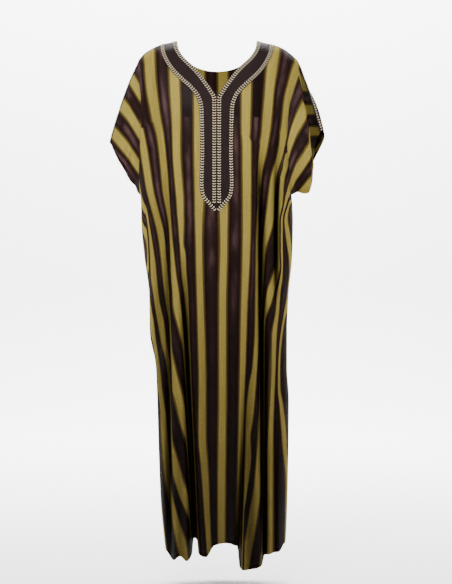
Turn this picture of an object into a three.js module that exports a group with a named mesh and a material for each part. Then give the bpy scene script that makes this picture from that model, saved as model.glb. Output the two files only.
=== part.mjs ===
// A short-sleeved striped djellaba, held out in the round as it is worn. Sizes are in millimetres.
// X runs to the wearer's left, Y to the back and Z up. The origin lies between the two neck points,
// on the shoulder line, where the wearer's shoulders carry the garment.
import * as THREE from "three";

// Thickness of each cloth, and the gap that parts two pieces at a seam
const CLOTH = 1.6;
const TAPE = 1.4;
const BRAID = 1.8;
const GAP = 0.3;

// Heights that drive the cut
const NECK_POINT = 4;
const SHOULDER_TIP = -60;
const UNDERARM = -410;
const SLIT_END = -466;
const HALF_GAP = GAP / 2;

// Half widths of the worn body on the wearer's right and left, and the depth of its widest line
const BODY = [
  { z: 4, right: 107, left: 107, middle: 0 },
  { z: -8, right: 152, left: 152, middle: 0 },
  { z: -16, right: 170, left: 174, middle: 0 },
  { z: -34, right: 197, left: 194, middle: 0 },
  { z: -60, right: 214, left: 206, middle: 0 },
  { z: -110, right: 216, left: 204, middle: -18 },
  { z: -160, right: 215, left: 199, middle: -28 },
  { z: -300, right: 214, left: 196, middle: -30 },
  { z: -380, right: 210, left: 199, middle: -10 },
  { z: -410, right: 207, left: 201, middle: 0 },
  { z: -430, right: 205, left: 203, middle: 0 },
  { z: -483, right: 204, left: 205, middle: 0 },
  { z: -575, right: 196, left: 203, middle: 0 },
  { z: -678, right: 183, left: 193, middle: 0 },
  { z: -780, right: 181, left: 189, middle: 0 },
  { z: -872, right: 165, left: 189, middle: 0 },
  { z: -964, right: 161, left: 194, middle: 0 },
  { z: -1072, right: 158, left: 193, middle: 0 },
  { z: -1226, right: 152, left: 190, middle: 0 },
  { z: -1328, right: 143, left: 186, middle: 0 },
  { z: -1400, right: 134, left: 178, middle: 0 },
];

// How far the cloth stands before and behind the shoulder line, by the drop below that line
const PROFILE = [
  { drop: 0, front: 0, back: 0 },
  { drop: 8, front: 24, back: 26 },
  { drop: 25, front: 45, back: 48 },
  { drop: 50, front: 63, back: 68 },
  { drop: 90, front: 84, back: 90 },
  { drop: 140, front: 102, back: 106 },
  { drop: 200, front: 116, back: 114 },
  { drop: 280, front: 123, back: 116 },
  { drop: 420, front: 122, back: 110 },
  { drop: 600, front: 117, back: 114 },
  { drop: 820, front: 116, back: 134 },
  { drop: 1000, front: 120, back: 141 },
  { drop: 1400, front: 128, back: 148 },
];

// Troughs that the hanging cloth falls into. x0 to x1 is the trough's line from z0 down to z1, d0, d1
// and d2 are its depth at the top, middle and bottom, and toRight and toLeft its reach on each side.
const FRONT_FOLDS = [
  { name: "right_ridge", z0: -300, z1: -1400, x0: -130, x1: -124, d0: 4, d1: 20, d2: 24, toRight: 11, toLeft: 7 },
  { name: "right_pleat", z0: -560, z1: -1400, x0: -90, x1: -57, d0: 0, d1: 46, d2: 92, toRight: 9, toLeft: 9 },
  { name: "right_lip", z0: -520, z1: -1400, x0: -82, x1: -54, d0: 0, d1: 14, d2: 20, toRight: 20, toLeft: 34 },
  { name: "centre", z0: -800, z1: -1400, x0: 24, x1: 28, d0: 0, d1: 20, d2: 46, toRight: 52, toLeft: 34 },
  { name: "left_lap", z0: -860, z1: -1400, x0: 80, x1: 55, d0: 0, d1: 22, d2: 38, toRight: 8, toLeft: 7 },
  { name: "left_pleat", z0: -280, z1: -1400, x0: 112, x1: 125, d0: 0, d1: 62, d2: 20, toRight: 7, toLeft: 10 },
  { name: "left_underarm", z0: -360, z1: -720, x0: 156, x1: 157, d0: 8, d1: 24, d2: 0, toRight: 6, toLeft: 6 },
  { name: "left_edge", z0: -780, z1: -1400, x0: 160, x1: 152, d0: 0, d1: 14, d2: 16, toRight: 9, toLeft: 7 },
];
const BACK_FOLDS = [
  { name: "spine", z0: -330, z1: -1400, x0: -6, x1: -14, d0: 0, d1: 26, d2: 44, toRight: 20, toLeft: 24 },
  { name: "right_blade", z0: -190, z1: -1400, x0: -74, x1: -70, d0: 0, d1: 30, d2: 50, toRight: 13, toLeft: 16 },
  { name: "right_hip", z0: -420, z1: -1400, x0: -136, x1: -112, d0: 4, d1: 24, d2: 30, toRight: 11, toLeft: 13 },
  { name: "left_blade", z0: -240, z1: -1400, x0: 62, x1: 52, d0: 0, d1: 28, d2: 58, toRight: 15, toLeft: 12 },
  { name: "left_hip", z0: -400, z1: -1400, x0: 122, x1: 114, d0: 4, d1: 32, d2: 44, toRight: 13, toLeft: 12 },
  { name: "left_side", z0: -640, z1: -1400, x0: 166, x1: 156, d0: 0, d1: 14, d2: 20, toRight: 9, toLeft: 9 },
];

// Height of the front hem across its width, and of the plain back hem
const HEM = [
  { x: -134, z: -1366 },
  { x: -115, z: -1378 },
  { x: -98, z: -1366 },
  { x: -80, z: -1376 },
  { x: -68, z: -1350 },
  { x: -58, z: -1330 },
  { x: -50, z: -1354 },
  { x: -34, z: -1364 },
  { x: -8, z: -1348 },
  { x: 24, z: -1336 },
  { x: 50, z: -1344 },
  { x: 63, z: -1396 },
  { x: 82, z: -1396 },
  { x: 112, z: -1388 },
  { x: 126, z: -1360 },
  { x: 178, z: -1342 },
];
const BACK_HEM = { level: -1340, wave: 5, waves: 5 };

// Rows of the front from the shoulder to the end of the slit. The inner edge is the neckline and then the
// slit, the outer edge is where the neck band ends, and side is the height at the armhole or side seam.
const FRONT_ROWS = [
  { innerX: 107, innerZ: 4, outerX: 152, outerZ: -8, side: -60 },
  { innerX: 106, innerZ: -8, outerX: 151, outerZ: -20, side: -68 },
  { innerX: 102, innerZ: -24, outerX: 148, outerZ: -36, side: -80 },
  { innerX: 89, innerZ: -47, outerX: 138, outerZ: -60, side: -100 },
  { innerX: 66, innerZ: -71, outerX: 120, outerZ: -88, side: -126 },
  { innerX: 46, innerZ: -92, outerX: 97, outerZ: -113, side: -155 },
  { innerX: 27, innerZ: -118, outerX: 72, outerZ: -137, side: -188 },
  { innerX: 11, innerZ: -142, outerX: 54, outerZ: -162, side: -225 },
  { innerX: 0.8, innerZ: -164, outerX: 46, outerZ: -192, side: -262 },
  { innerX: 0.8, innerZ: -225, outerX: 44, outerZ: -238, side: -305 },
  { innerX: 0.8, innerZ: -300, outerX: 43, outerZ: -306, side: -355 },
  { innerX: 0.8, innerZ: -378, outerX: 45, outerZ: -384, side: UNDERARM },
  { innerX: 0.8, innerZ: -412, outerX: 42, outerZ: -416, side: -432 },
  { innerX: 0.8, innerZ: -440, outerX: 24, outerZ: -443, side: -452 },
  { innerX: 0.4, innerZ: SLIT_END, outerX: 1.4, outerZ: SLIT_END, side: SLIT_END },
];

// Rows of the back: the height at the centre, and how much of the neck and shoulder line each one keeps
const BACK_ROWS = [
  { centre: -66, keep: 1 },
  { centre: -76, keep: 1 },
  { centre: -92, keep: 0.98 },
  { centre: -114, keep: 0.9 },
  { centre: -150, keep: 0.7 },
  { centre: -198, keep: 0.45 },
  { centre: -260, keep: 0.2 },
  { centre: -330, keep: 0.06 },
  { centre: UNDERARM, keep: 0 },
];

// The back neckline is half an oval, and so is the outer edge of its band
const BACK_NECK = { halfWidth: 107, drop: 70, top: 4 };
const BACK_BAND = { halfWidth: 152, drop: 104, top: -8 };

// How far the armhole reaches before and behind the line of the side seam
const ARMHOLE = { front: 42, back: 58 };

// Places of the braid across the band, as shares of its width
const BRAID_WIDTH = 11;
const INNER_BRAID = 0.24;
const OUTER_BRAID = 0.76;
const TAPE_HALF_WIDTH = 9.5;
const TAPE_BRAID_HALF_WIDTH = 5;

// Columns of half a panel beyond the band, rows of the skirt, and rings of a sleeve
const FRONT_COLUMNS = 20;
const BACK_COLUMNS = 9;
const FRONT_SKIRT_ROWS = 14;
const BACK_SKIRT_ROWS = 12;
const SLEEVE_RINGS = 6;
const EDGE_POWER = 2.6;
const TURN_COST = 16;
const CUT_SNAP = 0.006;

// Each sleeve by eight places round it, halfway along and at the cuff
const SLEEVE_RIGHT = [
  { place: "top", x1: -251, y1: 0, z1: -148, x2: -288, y2: 0, z2: -268 },
  { place: "front_upper", x1: -240, y1: -38, z1: -172, x2: -273, y2: -36, z2: -296 },
  { place: "front", x1: -227, y1: -55, z1: -238, x2: -250, y2: -50, z2: -330 },
  { place: "front_lower", x1: -220, y1: -46, z1: -328, x2: -231, y2: -40, z2: -366 },
  { place: "under", x1: -215, y1: 0, z1: -404, x2: -218, y2: 0, z2: -392 },
  { place: "back_lower", x1: -222, y1: 38, z1: -335, x2: -230, y2: 40, z2: -382 },
  { place: "back", x1: -233, y1: 52, z1: -245, x2: -248, y2: 52, z2: -348 },
  { place: "back_upper", x1: -244, y1: 38, z1: -178, x2: -274, y2: 36, z2: -304 },
];
const SLEEVE_LEFT = [
  { place: "top", x1: 250, y1: -4, z1: -142, x2: 290, y2: -4, z2: -250 },
  { place: "front_upper", x1: 238, y1: -50, z1: -178, x2: 262, y2: -42, z2: -298 },
  { place: "front", x1: 232, y1: -66, z1: -240, x2: 256, y2: -72, z2: -346 },
  { place: "front_lower", x1: 222, y1: -56, z1: -330, x2: 246, y2: -54, z2: -398 },
  { place: "under", x1: 210, y1: 0, z1: -406, x2: 218, y2: -2, z2: -400 },
  { place: "back_lower", x1: 222, y1: 38, z1: -330, x2: 236, y2: 36, z2: -374 },
  { place: "back", x1: 232, y1: 50, z1: -240, x2: 260, y2: 50, z2: -318 },
  { place: "back_upper", x1: 243, y1: 32, z1: -172, x2: 280, y2: 28, z2: -272 },
];

const MATERIALS = {
  cloth: new THREE.MeshStandardMaterial({ color: 0x7d7045, roughness: 0.55, metalness: 0 }),
  band: new THREE.MeshStandardMaterial({ color: 0x2f272d, roughness: 0.7, metalness: 0 }),
  braid: new THREE.MeshStandardMaterial({ color: 0xc8b996, roughness: 0.75, metalness: 0 }),
};

// Reads a column of a table at any place along its key, bending smoothly through the rows
function read(table, key, where, column) {
  const sign = table[table.length - 1][key] > table[0][key] ? 1 : -1;
  const last = table.length - 1;
  const place = sign * where;
  if (place <= sign * table[0][key]) return table[0][column];
  if (place >= sign * table[last][key]) return table[last][column];
  let row = 0;
  while (sign * table[row + 1][key] < place) row += 1;
  const slope = (k) => (table[k + 1][column] - table[k][column]) / (sign * (table[k + 1][key] - table[k][key]));
  const between = (a, b) => (a * b > 0 ? (2 * a * b) / (a + b) : 0);
  const here = slope(row);
  const before = row > 0 ? between(slope(row - 1), here) : here;
  const after = row < last - 1 ? between(here, slope(row + 1)) : here;
  const width = sign * (table[row + 1][key] - table[row][key]);
  const t = (place - sign * table[row][key]) / width;
  const low = table[row][column] * (1 + 2 * t) * (1 - t) ** 2 + before * width * t * (1 - t) ** 2;
  const high = table[row + 1][column] * t * t * (3 - 2 * t) - after * width * t * t * (1 - t);
  return low + high;
}

function mix(a, b, share) {
  return a + (b - a) * share;
}

function halfWidth(side, z) {
  return read(BODY, "z", z, side < 0 ? "right" : "left");
}

// Height of the shoulder line at a distance from the centre
function shoulderLine(side, distance) {
  let low = SHOULDER_TIP;
  let high = NECK_POINT;
  for (let k = 0; k < 40; k += 1) {
    const z = (low + high) / 2;
    if (halfWidth(side, z) > distance) low = z;
    else high = z;
  }
  return (low + high) / 2;
}

// Depth that the cloth has fallen in at a place, from every trough of its face
function foldDepth(folds, x, z) {
  let depth = 0;
  for (const fold of folds) {
    const along = (fold.z0 - z) / (fold.z0 - fold.z1);
    const t = Math.min(1, Math.max(0, along));
    const bend = fold.d0 * (1 - t) * (1 - 2 * t) + fold.d1 * 4 * t * (1 - t) + fold.d2 * t * (2 * t - 1);
    const fade = Math.max(0, 1 - Math.max(0, z - fold.z0) / 60);
    const off = x - mix(fold.x0, fold.x1, t);
    const reach = off < 0 ? fold.toRight : fold.toLeft;
    depth += bend * fade * Math.exp(-((off / reach) ** 2));
  }
  return depth;
}

// A point of the worn body: face is -1 before the shoulder line and 1 behind it
function bodyPoint(face, side, x, z) {
  const share = Math.min(1, Math.abs(x) / halfWidth(side, z));
  const round = (1 - share ** EDGE_POWER) ** (1 / EDGE_POWER);
  const middle = read(BODY, "z", z, "middle");
  const reach = face * read(PROFILE, "drop", NECK_POINT - z, face < 0 ? "front" : "back");
  const trough = foldDepth(face < 0 ? FRONT_FOLDS : BACK_FOLDS, x, z) * Math.min(1, 1.5 * round);
  return new THREE.Vector3(x, middle + (reach - middle) * round - face * trough, z);
}

// Distance from the centre at which a panel ends: at the armhole, or at the side seam below it
function panelEdge(face, side, z) {
  const width = halfWidth(side, z);
  if (z >= SHOULDER_TIP || z <= UNDERARM) return width;
  const centre = (SHOULDER_TIP + UNDERARM) / 2;
  const half = (SHOULDER_TIP - UNDERARM) / 2;
  const size = face < 0 ? ARMHOLE.front : ARMHOLE.back;
  const open = size * Math.sqrt(Math.max(0, 1 - ((z - centre) / half) ** 2));
  const middle = read(BODY, "z", z, "middle");
  const reach = face * read(PROFILE, "drop", NECK_POINT - z, face < 0 ? "front" : "back");
  const round = open / Math.abs(reach - middle);
  return width * (1 - round ** EDGE_POWER) ** (1 / EDGE_POWER);
}

// Distances from the centre of one row's columns, closer together where the cloth turns
function spread(face, side, start, heightAt, edge, count) {
  const distances = [];
  const fine = [];
  for (let k = 0; k <= 260; k += 1) {
    distances.push(mix(start, edge, 1 - (1 - k / 260) ** 2.5));
    fine.push(bodyPoint(face, side, side * distances[k], heightAt(distances[k])));
  }
  const cost = [0];
  for (let k = 1; k < fine.length; k += 1) {
    const step = fine[k].clone().sub(fine[k - 1]);
    const next = k + 1 < fine.length ? fine[k + 1].clone().sub(fine[k]) : step;
    cost.push(cost[k - 1] + step.length() + TURN_COST * step.angleTo(next));
  }
  const columns = [];
  let k = 0;
  for (let column = 0; column <= count; column += 1) {
    const target = (cost[cost.length - 1] * column) / count;
    while (k < cost.length - 2 && cost[k + 1] < target) k += 1;
    const share = Math.min(1, (target - cost[k]) / (cost[k + 1] - cost[k]));
    columns.push(mix(distances[k], distances[k + 1], share));
  }
  return columns;
}

// One row of half a panel. Its first columns stand at the places named in fixed, and loose says how far
// they have let go of those places towards an even spread.
function panelRow(face, side, fixed, heightAt, edge, count, loose) {
  const last = fixed[fixed.length - 1];
  const held = [...fixed.slice(0, -1), ...spread(face, side, last, heightAt, edge, count)];
  const even = loose > 0 ? spread(face, side, fixed[0], heightAt, edge, held.length - 1) : held;
  const columns = held.map((distance, k) => mix(distance, even[k], loose));
  return columns.map((distance) => bodyPoint(face, side, side * distance, heightAt(distance)));
}

function frontRows(side) {
  const rows = FRONT_ROWS.map((row, index) => {
    const inner = row.innerZ <= SLIT_END ? 0 : row.innerX;
    const outer = Math.max(row.outerX, 42);
    const edge = panelEdge(-1, side, row.side);
    const heightAt = (distance) => {
      if (index === 0) return shoulderLine(side, distance);
      if (distance < outer) return mix(row.innerZ, row.outerZ, (distance - inner) / (outer - inner));
      return mix(row.outerZ, row.side, (distance - outer) / (edge - outer));
    };
    const fixed = [0, INNER_BRAID, OUTER_BRAID, 1].map((share) => mix(inner, outer, share));
    return panelRow(-1, side, fixed, heightAt, edge, FRONT_COLUMNS, 0);
  });
  for (const point of rows[0]) point.y = 0;
  for (let k = 1; k <= FRONT_SKIRT_ROWS; k += 1) {
    const share = k / FRONT_SKIRT_ROWS;
    const heightAt = (distance) => mix(SLIT_END, read(HEM, "x", side * distance, "z"), share);
    const edge = halfWidth(side, heightAt(1000));
    const fixed = [0, INNER_BRAID, OUTER_BRAID, 1].map((place) => 42 * place);
    rows.push(panelRow(-1, side, fixed, heightAt, edge, FRONT_COLUMNS, Math.min(1, k / 4)));
  }
  return rows;
}

// Height of the neckline and shoulder line of the back at a distance from the centre
function backTop(side, distance) {
  const share = distance / BACK_NECK.halfWidth;
  if (share >= 1) return shoulderLine(side, distance);
  return BACK_NECK.top - BACK_NECK.drop * Math.sqrt(1 - share * share);
}

function backRows(side) {
  const neck = [0, 0.2, 0.4, 0.6, 0.8].map((share) => share * BACK_NECK.halfWidth);
  const band = [0, INNER_BRAID, OUTER_BRAID, 1].map((share) =>
    mix(BACK_NECK.halfWidth, BACK_BAND.halfWidth, share));
  const fixed = [...neck, ...band];
  const rows = BACK_ROWS.map((row, index) => {
    const heightAt = (distance) => row.centre + row.keep * (backTop(side, distance) - BACK_ROWS[0].centre);
    const tip = row.centre + row.keep * (SHOULDER_TIP - BACK_ROWS[0].centre);
    const edge = panelEdge(1, side, tip);
    return panelRow(1, side, fixed, heightAt, edge, BACK_COLUMNS, Math.min(1, Math.max(0, index - 3) / 4));
  });
  for (const point of rows[0]) {
    if (Math.abs(point.x) > BACK_NECK.halfWidth - 0.01) point.y = 0;
  }
  for (let k = 1; k <= BACK_SKIRT_ROWS; k += 1) {
    const share = k / BACK_SKIRT_ROWS;
    const hem = (distance) => BACK_HEM.level + BACK_HEM.wave * Math.cos((BACK_HEM.waves * distance) / 60);
    const join = read(HEM, "x", side * 1000, "z");
    const blend = (distance) => Math.max(0, Math.min(1, (distance - 110) / 24));
    const heightAt = (distance) => mix(UNDERARM, mix(hem(distance), join, blend(distance)), share);
    rows.push(panelRow(1, side, fixed, heightAt, halfWidth(side, heightAt(1000)), BACK_COLUMNS, 1));
  }
  return rows;
}

// A sheet is points with triangles between them. lifts are its outward directions, each as long as keeps
// the cloth's full thickness where faces meet at an angle.
function newSheet() {
  return { points: [], lifts: [], faces: [] };
}

function addPoint(sheet, point, lift) {
  sheet.points.push(point.clone());
  if (lift) sheet.lifts.push(lift.clone());
  return sheet.points.length - 1;
}

function addCells(sheet, rows, forward) {
  for (let r = 0; r + 1 < rows.length; r += 1) {
    for (let c = 0; c + 1 < rows[r].length; c += 1) {
      const corners = [rows[r][c], rows[r][c + 1], rows[r + 1][c + 1], rows[r + 1][c]];
      const order = forward ? [0, 1, 2, 0, 2, 3] : [0, 2, 1, 0, 3, 2];
      sheet.faces.push(order.slice(0, 3).map((k) => corners[k]));
      sheet.faces.push(order.slice(3).map((k) => corners[k]));
    }
  }
}

function faceVector(sheet, face) {
  const [a, b, c] = face.map((index) => sheet.points[index]);
  return b.clone().sub(a).cross(c.clone().sub(a));
}

function vertexNormals(sheet) {
  const normals = sheet.points.map(() => new THREE.Vector3());
  for (const face of sheet.faces) {
    const vector = faceVector(sheet, face);
    for (const index of face) normals[index].add(vector);
  }
  return normals.map((normal) => normal.normalize());
}

// Fills in the lifts from normals, lengthened at a fold so that the wall doesn't thin there
function setLifts(sheet, normals) {
  const least = sheet.points.map(() => 1);
  for (const face of sheet.faces) {
    const flat = faceVector(sheet, face).normalize();
    for (const index of face) least[index] = Math.min(least[index], flat.dot(normals[index]));
  }
  sheet.lifts = normals.map((normal, k) => normal.clone().multiplyScalar(1 / Math.max(0.65, least[k])));
}

// Half panels joined at the centre, apart where the neck and slit part them
function makePanel(face) {
  const sheet = newSheet();
  const grids = {};
  for (const side of [-1, 1]) {
    const rows = face < 0 ? frontRows(side) : backRows(side);
    grids[side] = rows.map((row, r) => row.map((point, c) => {
      if (side > 0 && c === 0 && Math.abs(point.x) < 1e-6) return grids[-1][r][0];
      return addPoint(sheet, point);
    }));
    addCells(sheet, grids[side], face * side > 0);
  }
  return { sheet, grids, face, normals: vertexNormals(sheet) };
}

// Point of a sleeve's ring at a turn from 0 at the top, through 1 under the arm, to 2 at the top again
function ringPoint(table, ring, turn) {
  const place = turn * 4;
  const k = Math.floor(place);
  const t = place - k;
  const value = (axis) => {
    const [a, b, c, d] = [-1, 0, 1, 2].map((step) => table[(k + step + 8) % 8][axis + ring]);
    return b + 0.5 * t * (c - a + t * (2 * a - 5 * b + 4 * c - d + t * (3 * (b - c) + d - a)));
  };
  return new THREE.Vector3(value("x"), value("y"), value("z"));
}

// A sleeve grows from the armhole edges of the front and back and ends at the open cuff
function makeSleeve(side, table, front, back) {
  const frontEdge = FRONT_ROWS.filter((row) => row.side >= UNDERARM).map((row, r) => front.grids[side][r].at(-1));
  const backEdge = BACK_ROWS.map((row, r) => back.grids[side][r].at(-1));
  const loop = [];
  frontEdge.forEach((index) => loop.push(front.sheet.points[index]));
  backEdge.slice(1, -1).reverse().forEach((index) => loop.push(back.sheet.points[index]));
  const under = frontEdge.length - 1;
  const travel = [0];
  for (let k = 1; k <= loop.length; k += 1) {
    travel.push(travel[k - 1] + loop[k % loop.length].distanceTo(loop[k - 1]));
  }
  const turnAt = (k) => (k <= under
    ? travel[k] / travel[under]
    : 1 + (travel[k] - travel[under]) / (travel[loop.length] - travel[under]));
  const sheet = newSheet();
  const rings = [];
  for (let ring = 0; ring <= SLEEVE_RINGS; ring += 1) {
    const w = ring / SLEEVE_RINGS;
    const indices = loop.map((start, k) => {
      const point = start.clone().multiplyScalar((1 - w) * (1 - 2 * w));
      point.addScaledVector(ringPoint(table, 1, turnAt(k)), 4 * w * (1 - w));
      point.addScaledVector(ringPoint(table, 2, turnAt(k)), w * (2 * w - 1));
      return addPoint(sheet, point);
    });
    rings.push([...indices, indices[0]]);
  }
  addCells(sheet, rings, side > 0);
  return { sheet, rings, side, frontEdge, backEdge, under, normals: vertexNormals(sheet) };
}

// The panels' points that meet one point of a sleeve's first ring
function seamOwners(front, back, sleeve, k) {
  const owners = [];
  if (k <= sleeve.under) owners.push([front, sleeve.frontEdge[k]]);
  if (k === 0) owners.push([back, sleeve.backEdge[0]]);
  if (k >= sleeve.under) owners.push([back, sleeve.backEdge[sleeve.backEdge.length - 1 - (k - sleeve.under)]]);
  return owners;
}

// Gives the pieces that meet round an armhole one lift at each point, so that their edges stay side by side
function matchLifts(front, back, sleeve) {
  sleeve.rings[0].slice(0, -1).forEach((index, k) => {
    const lifts = seamOwners(front, back, sleeve, k).map(([panel, vertex]) => panel.sheet.lifts[vertex]);
    lifts.push(sleeve.sheet.lifts[index]);
    const longest = Math.max(...lifts.map((lift) => lift.length()));
    const shared = new THREE.Vector3();
    for (const lift of lifts) shared.add(lift);
    shared.setLength(longest);
    for (const lift of lifts) lift.copy(shared);
  });
}

// Parts two panels along the shoulder and the side, and both from the sleeves round the armhole
function openSeams(front, back, sleeves) {
  const shifts = new Map([[front, new Map()], [back, new Map()]]);
  const turns = new Map([[front, new Map()], [back, new Map()]]);
  const note = (book, panel, index, vector) => {
    const known = book.get(panel).get(index) ?? new THREE.Vector3();
    book.get(panel).set(index, known.add(vector));
  };
  for (const panel of [front, back]) {
    for (const side of [-1, 1]) {
      const grid = panel.grids[side];
      const aside = new THREE.Vector3(0, panel.face * HALF_GAP, 0);
      const top = grid[0].filter((index) => Math.abs(panel.sheet.points[index].y) < 1e-6);
      const start = (panel.face < 0 ? FRONT_ROWS.filter((row) => row.side > UNDERARM) : BACK_ROWS.slice(1)).length;
      const down = grid.slice(start).map((row) => row.at(-1));
      for (const line of [top, down]) {
        line.forEach((index, k) => {
          const before = panel.sheet.points[line[Math.max(0, k - 1)]];
          const after = panel.sheet.points[line[Math.min(line.length - 1, k + 1)]];
          const along = after.clone().sub(before);
          note(shifts, panel, index, aside);
          note(turns, panel, index, new THREE.Vector3(-along.z, 0, along.x).multiplyScalar(side).normalize());
        });
      }
    }
  }
  for (const sleeve of sleeves) {
    const loop = sleeve.rings[0].slice(0, -1);
    const starts = loop.map((index) => sleeve.sheet.points[index].clone());
    const moves = loop.map((index, k) => {
      const owners = seamOwners(front, back, sleeve, k);
      const normal = sleeve.normals[index].clone().multiplyScalar(owners.length);
      for (const [panel, vertex] of owners) normal.add(panel.normals[vertex]);
      if (owners.length > 1) normal.y = 0;
      normal.normalize();
      const along = starts[(k + 1) % loop.length].clone().sub(starts[(k + loop.length - 1) % loop.length]);
      const across = along.cross(normal);
      if (owners.length > 1) across.y = 0;
      across.normalize();
      const out = sleeve.sheet.points[sleeve.rings[1][k]].clone().sub(starts[k]);
      if (across.dot(out) < 0) across.negate();
      for (const [panel, vertex] of owners) {
        note(shifts, panel, vertex, across.clone().multiplyScalar(-HALF_GAP));
        note(turns, panel, vertex, normal);
      }
      return { index, normal, across };
    });
    for (const move of moves) {
      sleeve.sheet.points[move.index].addScaledVector(move.across, HALF_GAP);
      sleeve.normals[move.index].copy(move.normal);
    }
  }
  for (const panel of [front, back]) {
    for (const [index, vector] of shifts.get(panel)) panel.sheet.points[index].add(vector);
    for (const [index, vector] of turns.get(panel)) panel.normals[index].copy(vector).normalize();
  }
}

// Turns a sheet into a closed solid between two distances from its points. Its edge faces are split the
// same way on both sides of a seam, by height, so that twisted edges stay parallel.
function addWall(name, material, sheet, from, to) {
  const positions = [];
  for (const distance of [to, from]) {
    sheet.points.forEach((point, k) => {
      positions.push(...point.clone().addScaledVector(sheet.lifts[k], distance).toArray());
    });
  }
  const count = sheet.points.length;
  const indices = [];
  const edges = new Set();
  for (const [a, b, c] of sheet.faces) {
    indices.push(a, b, c, a + count, c + count, b + count);
    for (const edge of [[a, b], [b, c], [c, a]]) edges.add(edge.join());
  }
  for (const edge of edges) {
    const [a, b] = edge.split(",").map(Number);
    if (edges.has(`${b},${a}`)) continue;
    const rising = sheet.points[a].z < sheet.points[b].z;
    if (rising) indices.push(b, a, b + count, a, a + count, b + count);
    else indices.push(b, a, a + count, b, a + count, b + count);
  }
  const geometry = new THREE.BufferGeometry();
  geometry.setAttribute("position", new THREE.Float32BufferAttribute(positions, 3));
  geometry.setIndex(indices);
  geometry.computeVertexNormals();
  const mesh = new THREE.Mesh(geometry, material);
  mesh.name = name;
  group.add(mesh);
}

// Place and lift on a panel between its rows and columns
function onGrid(piece, grid, row, column) {
  const r = Math.min(grid.length - 2, Math.floor(row));
  const c = Math.min(grid[r].length - 2, Math.floor(column));
  const blend = (values) => {
    const upper = values[grid[r][c]].clone().lerp(values[grid[r][c + 1]], column - c);
    const lower = values[grid[r + 1][c]].clone().lerp(values[grid[r + 1][c + 1]], column - c);
    return upper.lerp(lower, row - r);
  };
  return { point: blend(piece.sheet.points), lift: blend(piece.sheet.lifts) };
}

// Column of a panel's row at a distance from the centre
function columnAt(panel, side, row, distance) {
  const line = panel.grids[side][row].map((index) => Math.abs(panel.sheet.points[index].x));
  let c = 0;
  while (c < line.length - 2 && line[c + 1] < distance) c += 1;
  return c + Math.min(1, Math.max(0, (distance - line[c]) / (line[c + 1] - line[c])));
}

// A strip laid along the neckline and slit of the front, between two distances from the centre on each row
function frontStrip(front, side, rowCount, placesAt) {
  const sheet = newSheet();
  const rows = FRONT_ROWS.slice(0, rowCount).map((row, r) => placesAt(row).map((distance) => {
    const spot = onGrid(front, front.grids[side], r, columnAt(front, side, r, distance));
    return addPoint(sheet, spot.point, spot.lift);
  }));
  addCells(sheet, rows, side < 0);
  return sheet;
}

// The part of a sheet where a measure of its points is below zero, cut straight through its triangles
function cutOut(source, measure) {
  const sheet = newSheet();
  const known = new Map();
  const values = source.points.map((point) => measure(point));
  const keep = (name, point, lift) => {
    if (!known.has(name)) known.set(name, addPoint(sheet, point, lift));
    return known.get(name);
  };
  const crossing = (a, b) => {
    const [first, second] = a < b ? [a, b] : [b, a];
    const share = values[first] / (values[first] - values[second]);
    const point = source.points[first].clone().lerp(source.points[second], share);
    const lift = source.lifts[first].clone().lerp(source.lifts[second], share);
    return keep(`${first},${second}`, point, lift);
  };
  for (const face of source.faces) {
    const corners = [];
    face.forEach((index, k) => {
      const next = face[(k + 1) % 3];
      if (values[index] <= CUT_SNAP) corners.push(keep(index, source.points[index], source.lifts[index]));
      const [low, high] = [values[index], values[next]].sort((x, y) => x - y);
      if (low < -CUT_SNAP && high > CUT_SNAP) corners.push(crossing(index, next));
    });
    const reached = face.some((index) => values[index] < -CUT_SNAP);
    for (let k = 1; reached && k + 1 < corners.length; k += 1) {
      sheet.faces.push([corners[0], corners[k], corners[k + 1]]);
    }
  }
  return sheet;
}

// A strip laid round the back neck between two shares of the band's width
function backStrip(back, from, to) {
  const oval = (share) => (point) => {
    const halfAcross = mix(BACK_NECK.halfWidth, BACK_BAND.halfWidth, share);
    const drop = mix(BACK_NECK.drop, BACK_BAND.drop, share);
    const below = Math.max(0, mix(BACK_NECK.top, BACK_BAND.top, share) - point.z) / drop;
    return (point.x / halfAcross) ** 2 + below ** 2 - 1;
  };
  const outer = cutOut(back.sheet, oval(to));
  return from > 0 ? cutOut(outer, (point) => -oval(from)(point)) : outer;
}

// A strip over the shoulder seam, from the neck band down the top of the sleeve to the cuff
function shoulderStrip(front, back, sleeve, halfAcross) {
  const side = sleeve.side;
  const sheet = newSheet();
  const rows = [];
  const crestLine = front.grids[side][0].map((index) => Math.abs(front.sheet.points[index].x));
  const addRow = (spots) => rows.push(spots.map((spot) => addPoint(sheet, spot.point, spot.lift)));
  for (let k = 3; k + 1 < crestLine.length; k += 2) {
    const distance = Math.max(BACK_BAND.halfWidth + GAP, crestLine[k]);
    const spots = [front, back].map((panel) => {
      const column = columnAt(panel, side, 0, distance);
      const seam = onGrid(panel, panel.grids[side], 0, column);
      const below = onGrid(panel, panel.grids[side], 1, column);
      const share = halfAcross / below.point.distanceTo(seam.point);
      return { seam, edge: onGrid(panel, panel.grids[side], share, column) };
    });
    const crest = { point: spots[0].seam.point.clone().lerp(spots[1].seam.point, 0.5), lift: spots[0].seam.lift };
    addRow([spots[0].edge, crest, spots[1].edge]);
  }
  const around = sleeve.rings[0].length - 1;
  for (let ring = 0; ring <= SLEEVE_RINGS; ring += 1) {
    const spotAt = (column) => onGrid(sleeve, sleeve.rings, ring, column);
    const shareOf = (column) => Math.min(0.96, halfAcross / spotAt(0).point.distanceTo(spotAt(column).point));
    addRow([spotAt(shareOf(1)), spotAt(0), spotAt(around - shareOf(around - 1))]);
  }
  addCells(sheet, rows, side < 0);
  return sheet;
}

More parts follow.
